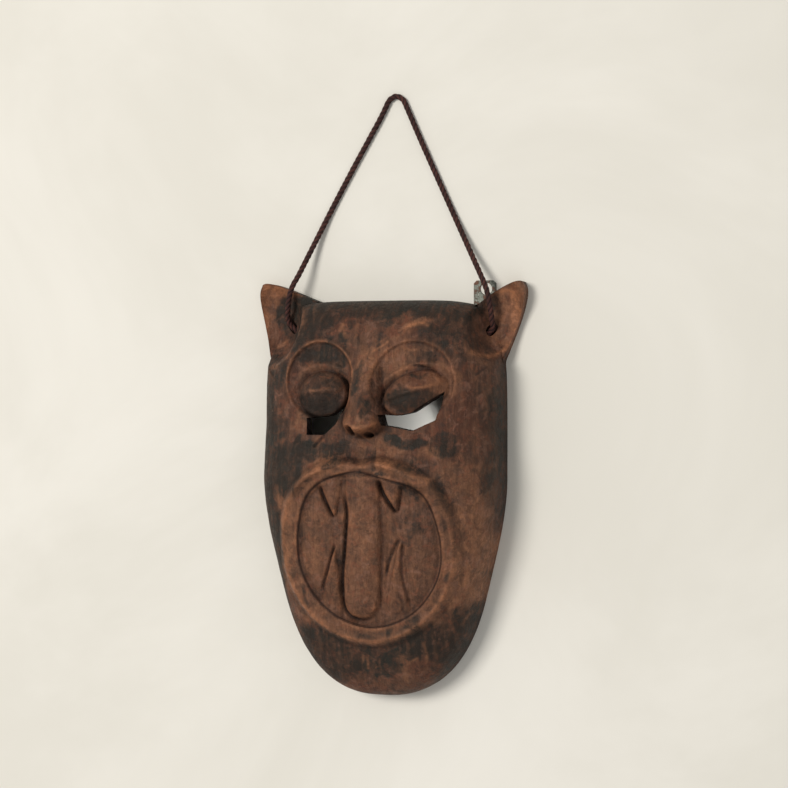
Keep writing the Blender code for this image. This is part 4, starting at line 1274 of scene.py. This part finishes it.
def wood_material(mottle, streak):
    """Dark stained wood, worn to orange brown on its edges, with painted shade black in its lines, and
    clouded all over.

    From the bottom up: brown with redder stain, bare wood, clouds, blots and grain, then what is left of the
    dark stain, the rubbed edges, the painted shade and pale flecks. The hollow shows unstained wood.
    """
    material, tree, shader = new_material("dark carved wood")
    place = add(tree, "ShaderNodeTexCoord").outputs["Object"]
    marks = add(tree, "ShaderNodeAttribute", {"attribute_name": "carving"})
    parts = add(tree, "ShaderNodeSeparateColor", Color=marks.outputs["Color"])
    ridge, painted_shade, dark = parts.outputs[0], parts.outputs[1], parts.outputs[2]
    outside = marks.outputs["Alpha"]
    tones = add(tree, "ShaderNodeAttribute", {"attribute_name": "tones"})
    shades = add(tree, "ShaderNodeSeparateColor", Color=tones.outputs["Color"])
    light_wood, red = shades.outputs[0], shades.outputs[1]

    broad = use(tree, mottle, place, 24.0, 0.38, 0.62)
    clouds = use(tree, mottle, place, 74.0, 0.47, 0.63)
    pale_clouds = use(tree, mottle, place, 103.0, 0.50, 0.66)
    small = use(tree, mottle, place, 260.0, 0.42, 0.62)
    blots = use(tree, mottle, place, 150.0, 0.52, 0.64)
    embers = use(tree, mottle, place, 185.0, 0.52, 0.64)
    grain = use(tree, streak, place, 240.0, 0.42, 0.62)
    fine_grain = use(tree, streak, place, 720.0, 0.40, 0.66)
    speckle = use(tree, mottle, place, 1100.0, 0.69, 0.78)

    brown = mix(tree, broad, DEEP_BROWN, WARM_BROWN)
    rusty = mix(tree, times(tree, red, plus(tree, 0.45, clouds), True), brown, RUSTY_STAIN)
    pale = times(tree, light_wood, plus(tree, times(tree, small, 0.55), 0.72), True)
    opened = mix(tree, pale, rusty, LIGHT_WOOD)
    pinkish = mix(tree, times(tree, pale_clouds, 0.55), opened, PINK_WOOD)
    shading = times(tree, clouds, less(tree, 0.66, times(tree, pale, 0.40)))
    clouded = mix(tree, shading, pinkish, CLOUD_BROWN)
    blotted = mix(tree, times(tree, blots, 0.40), clouded, BLOT_BROWN)
    reddened = mix(tree, times(tree, embers, 0.38), blotted, EMBER_RED)
    grained = mix(tree, times(tree, grain, 0.25), reddened, GRAIN_LIGHT)
    lines = mix(tree, times(tree, fine_grain, 0.26), grained, GRAIN_DARK)

    patchy = plus(tree, times(tree, small, 0.42), times(tree, clouds, 0.42))
    held = less(tree, plus(tree, times(tree, dark, 1.75), patchy), 0.60, True)
    greenish = mix(tree, broad, STAIN_BLACK, STAIN_GREEN)
    stained = mix(tree, times(tree, held, 0.92), lines, greenish)

    broken = plus(tree, times(tree, small, 0.6), 0.45)
    rubbed = times(tree, ridge, less(tree, broken, times(tree, held, 0.35)), True)
    worn = mix(tree, times(tree, rubbed, 0.92), stained, RUBBED_EDGE)
    # Painted shade: near black in the cut lines, the low places and under the left eyeball
    with_painted_shade = mix(tree, times(tree, painted_shade, 0.92), worn, PAINTED_SHADE_BLACK)
    flecked = mix(tree, times(tree, speckle, 0.28), with_painted_shade, PALE_FLECK)
    raw = mix(tree, grain, RAW_DARK, RAW_LIGHT)
    shaded_raw = mix(tree, times(tree, clouds, 0.6), raw, RAW_SHADE)
    tree.links.new(mix(tree, outside, shaded_raw, flecked), shader.inputs["Base Color"])

    sheen = add(tree, "ShaderNodeMapRange", Value=plus(tree, rubbed, small), From_Min=0.0, From_Max=1.6,
                To_Min=0.70, To_Max=0.50)
    tree.links.new(sheen.outputs[0], shader.inputs["Roughness"])
    shader.inputs["Specular IOR Level"].default_value = 0.20
    height = plus(tree, times(tree, fine_grain, -0.4), times(tree, small, 0.7))
    roughen(tree, shader, plus(tree, height, times(tree, clouds, 0.6)), 0.50, 0.0006)
    return material


def metal_material(mottle):
    """Dull green-grey sheet steel, rusty in blotches."""
    material, tree, shader = new_material("rusty sheet metal")
    place = add(tree, "ShaderNodeTexCoord").outputs["Object"]
    rust = use(tree, mottle, place, 190.0, 0.46, 0.60)
    grime = use(tree, mottle, place, 700.0, 0.44, 0.66)
    steel = mix(tree, grime, (0.085, 0.092, 0.078), (0.160, 0.165, 0.145))
    colour = mix(tree, times(tree, rust, 0.85), steel, (0.150, 0.062, 0.035))
    tree.links.new(colour, shader.inputs["Base Color"])
    tree.links.new(less(tree, 0.75, rust, True), shader.inputs["Metallic"])
    dull = add(tree, "ShaderNodeMapRange", Value=rust, To_Min=0.45, To_Max=0.85)
    tree.links.new(dull.outputs[0], shader.inputs["Roughness"])
    roughen(tree, shader, plus(tree, rust, times(tree, grime, 0.4)), 0.5, 0.0003)
    return material


def cord_material(mottle):
    """Dark red-brown twisted fibre, with painted shade near black between its strands, and faint light
    fibres.
    """
    material, tree, shader = new_material("dark red cord")
    place = add(tree, "ShaderNodeTexCoord").outputs["Object"]
    marks = add(tree, "ShaderNodeAttribute", {"attribute_name": "strand"})
    strand = add(tree, "ShaderNodeSeparateColor", Color=marks.outputs["Color"]).outputs[0]
    faded = use(tree, mottle, place, 120.0, 0.42, 0.62)
    fluff = use(tree, mottle, place, 2600.0, 0.50, 0.66)
    yarn = mix(tree, faded, (0.040, 0.014, 0.012), (0.078, 0.026, 0.020))
    fluffy = mix(tree, times(tree, fluff, 0.35), yarn, (0.150, 0.070, 0.055))
    # Painted shade: near black in the grooves between the strands, rising to the yarn's colour on their
    # crests
    crest = add(tree, "ShaderNodeMapRange", Value=strand, From_Min=0.10, From_Max=0.75)
    tree.links.new(mix(tree, crest.outputs[0], (0.008, 0.004, 0.004), fluffy), shader.inputs["Base Color"])
    shader.inputs["Roughness"].default_value = 0.82
    shader.inputs["Specular IOR Level"].default_value = 0.30
    roughen(tree, shader, fluff, 0.6, 0.0003)
    return material


def floor_material(mottle):
    """Plain pale floor with a faint unevenness."""
    material, tree, shader = new_material("pale floor")
    place = add(tree, "ShaderNodeTexCoord").outputs["Object"]
    cloud = use(tree, mottle, place, 3.0, 0.35, 0.70)
    tree.links.new(mix(tree, cloud, (0.72, 0.70, 0.64), (0.79, 0.77, 0.715)), shader.inputs["Base Color"])
    shader.inputs["Roughness"].default_value = 0.9
    return material


def add_camera(shift):
    """The photograph's view: nearly straight down on the face, from a little to its right."""
    tilt = math.radians(15.7)
    distance = 1.49
    view_width = 0.63
    sensor = 36.0
    data = bpy.data.cameras.new("camera")
    data.sensor_width = sensor
    data.lens = sensor * distance / view_width
    camera = bpy.data.objects.new("camera", data)
    bpy.context.scene.collection.objects.link(camera)
    aim = Vector((0.0033, 0.075, 0.0)) + Vector(shift)
    camera.location = aim + Vector((distance * math.sin(tilt), 0.0, distance * math.cos(tilt)))
    camera.rotation_euler = (0.0, tilt, 0.0)
    bpy.context.scene.camera = camera


def add_lamp(data, place, aim):
    """Puts a light at a place and turns it to face a point."""
    lamp = bpy.data.objects.new(data.name, data)
    bpy.context.scene.collection.objects.link(lamp)
    lamp.location = place
    lamp.rotation_euler = (Vector(aim) - Vector(place)).to_track_quat("-Z", "Y").to_euler()


def add_soft_light(name, place, aim, size, watts, colour):
    """One square soft light that faces a point."""
    data = bpy.data.lights.new(name, "AREA")
    data.size = size
    data.energy = watts
    data.color = colour
    add_lamp(data, place, aim)


def add_hollow_lamp():
    """A small spot inside the hollow, which lights the floor that shows through the right eye's opening."""
    spot = bpy.data.lights.new("hollow", "SPOT")
    spot.energy = 0.050
    spot.spot_size = math.radians(64.0)
    spot.spot_blend = 0.5
    spot.shadow_soft_size = 0.006
    add_lamp(spot, (0.040, 0.044, 0.036), (0.013, 0.053, 0.0))


def add_surroundings(material):
    """Pale floor, one soft key from the upper left, a weaker fill, the lamp in the hollow and an even sky."""
    half = 3.0
    corners = [(-half, -half, 0.0), (half, -half, 0.0), (half, half, 0.0), (-half, half, 0.0)]
    floor = make_object("floor", make_mesh("floor", corners, [(0, 1, 2, 3)]), material)
    add_soft_light("key", (-1.68, 1.05, 4.0), (0.0, 0.05, 0.0), 1.5, 141.0, (1.0, 0.965, 0.91))
    add_soft_light("fill", (0.9, -0.9, 1.6), (0.0, 0.0, 0.0), 1.4, 3.0, (0.96, 0.98, 1.0))
    add_hollow_lamp()
    world = bpy.data.worlds.new("studio")
    world.use_nodes = True
    sky = world.node_tree.nodes["Background"]
    sky.inputs["Color"].default_value = (1.0, 0.985, 0.955, 1.0)
    sky.inputs["Strength"].default_value = 0.43
    bpy.context.scene.world = world
    bpy.context.scene.view_settings.view_transform = "Standard"


rings, turns = disc_chart(CELLS_ACROSS, CELLS_UP)
outside = np.stack(outer_surface(rings, turns), axis=-1)
shift = box_shift(outside)
add_camera(shift)
mottle = mask_group("mottle", (1.0, 1.0, 1.0), 0.0, 5.0, 0.62, 0.6)
streak = mask_group("streak", (1.0, 0.14, 0.6), 0.06, 4.0, 0.7, 0.35)
wood = wood_material(mottle, streak)
metal = metal_material(mottle)
fibre = cord_material(mottle)

cord, cord_path = build_cord(fibre, shift)
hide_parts("hanging_cord")
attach(cord, "root")
for side, name in SIDES:
    knot = build_knot(side, name, fibre, shift)
    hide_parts(f"cord_knot_{name}")
    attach(knot, "root")

mask = build_mask(wood, outside, rings, shift)
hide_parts("mask")
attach(mask, "root")

plate = build_plate(metal, shift)
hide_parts("hanger_plate")
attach(plate, "root")

add_surroundings(floor_material(mottle))
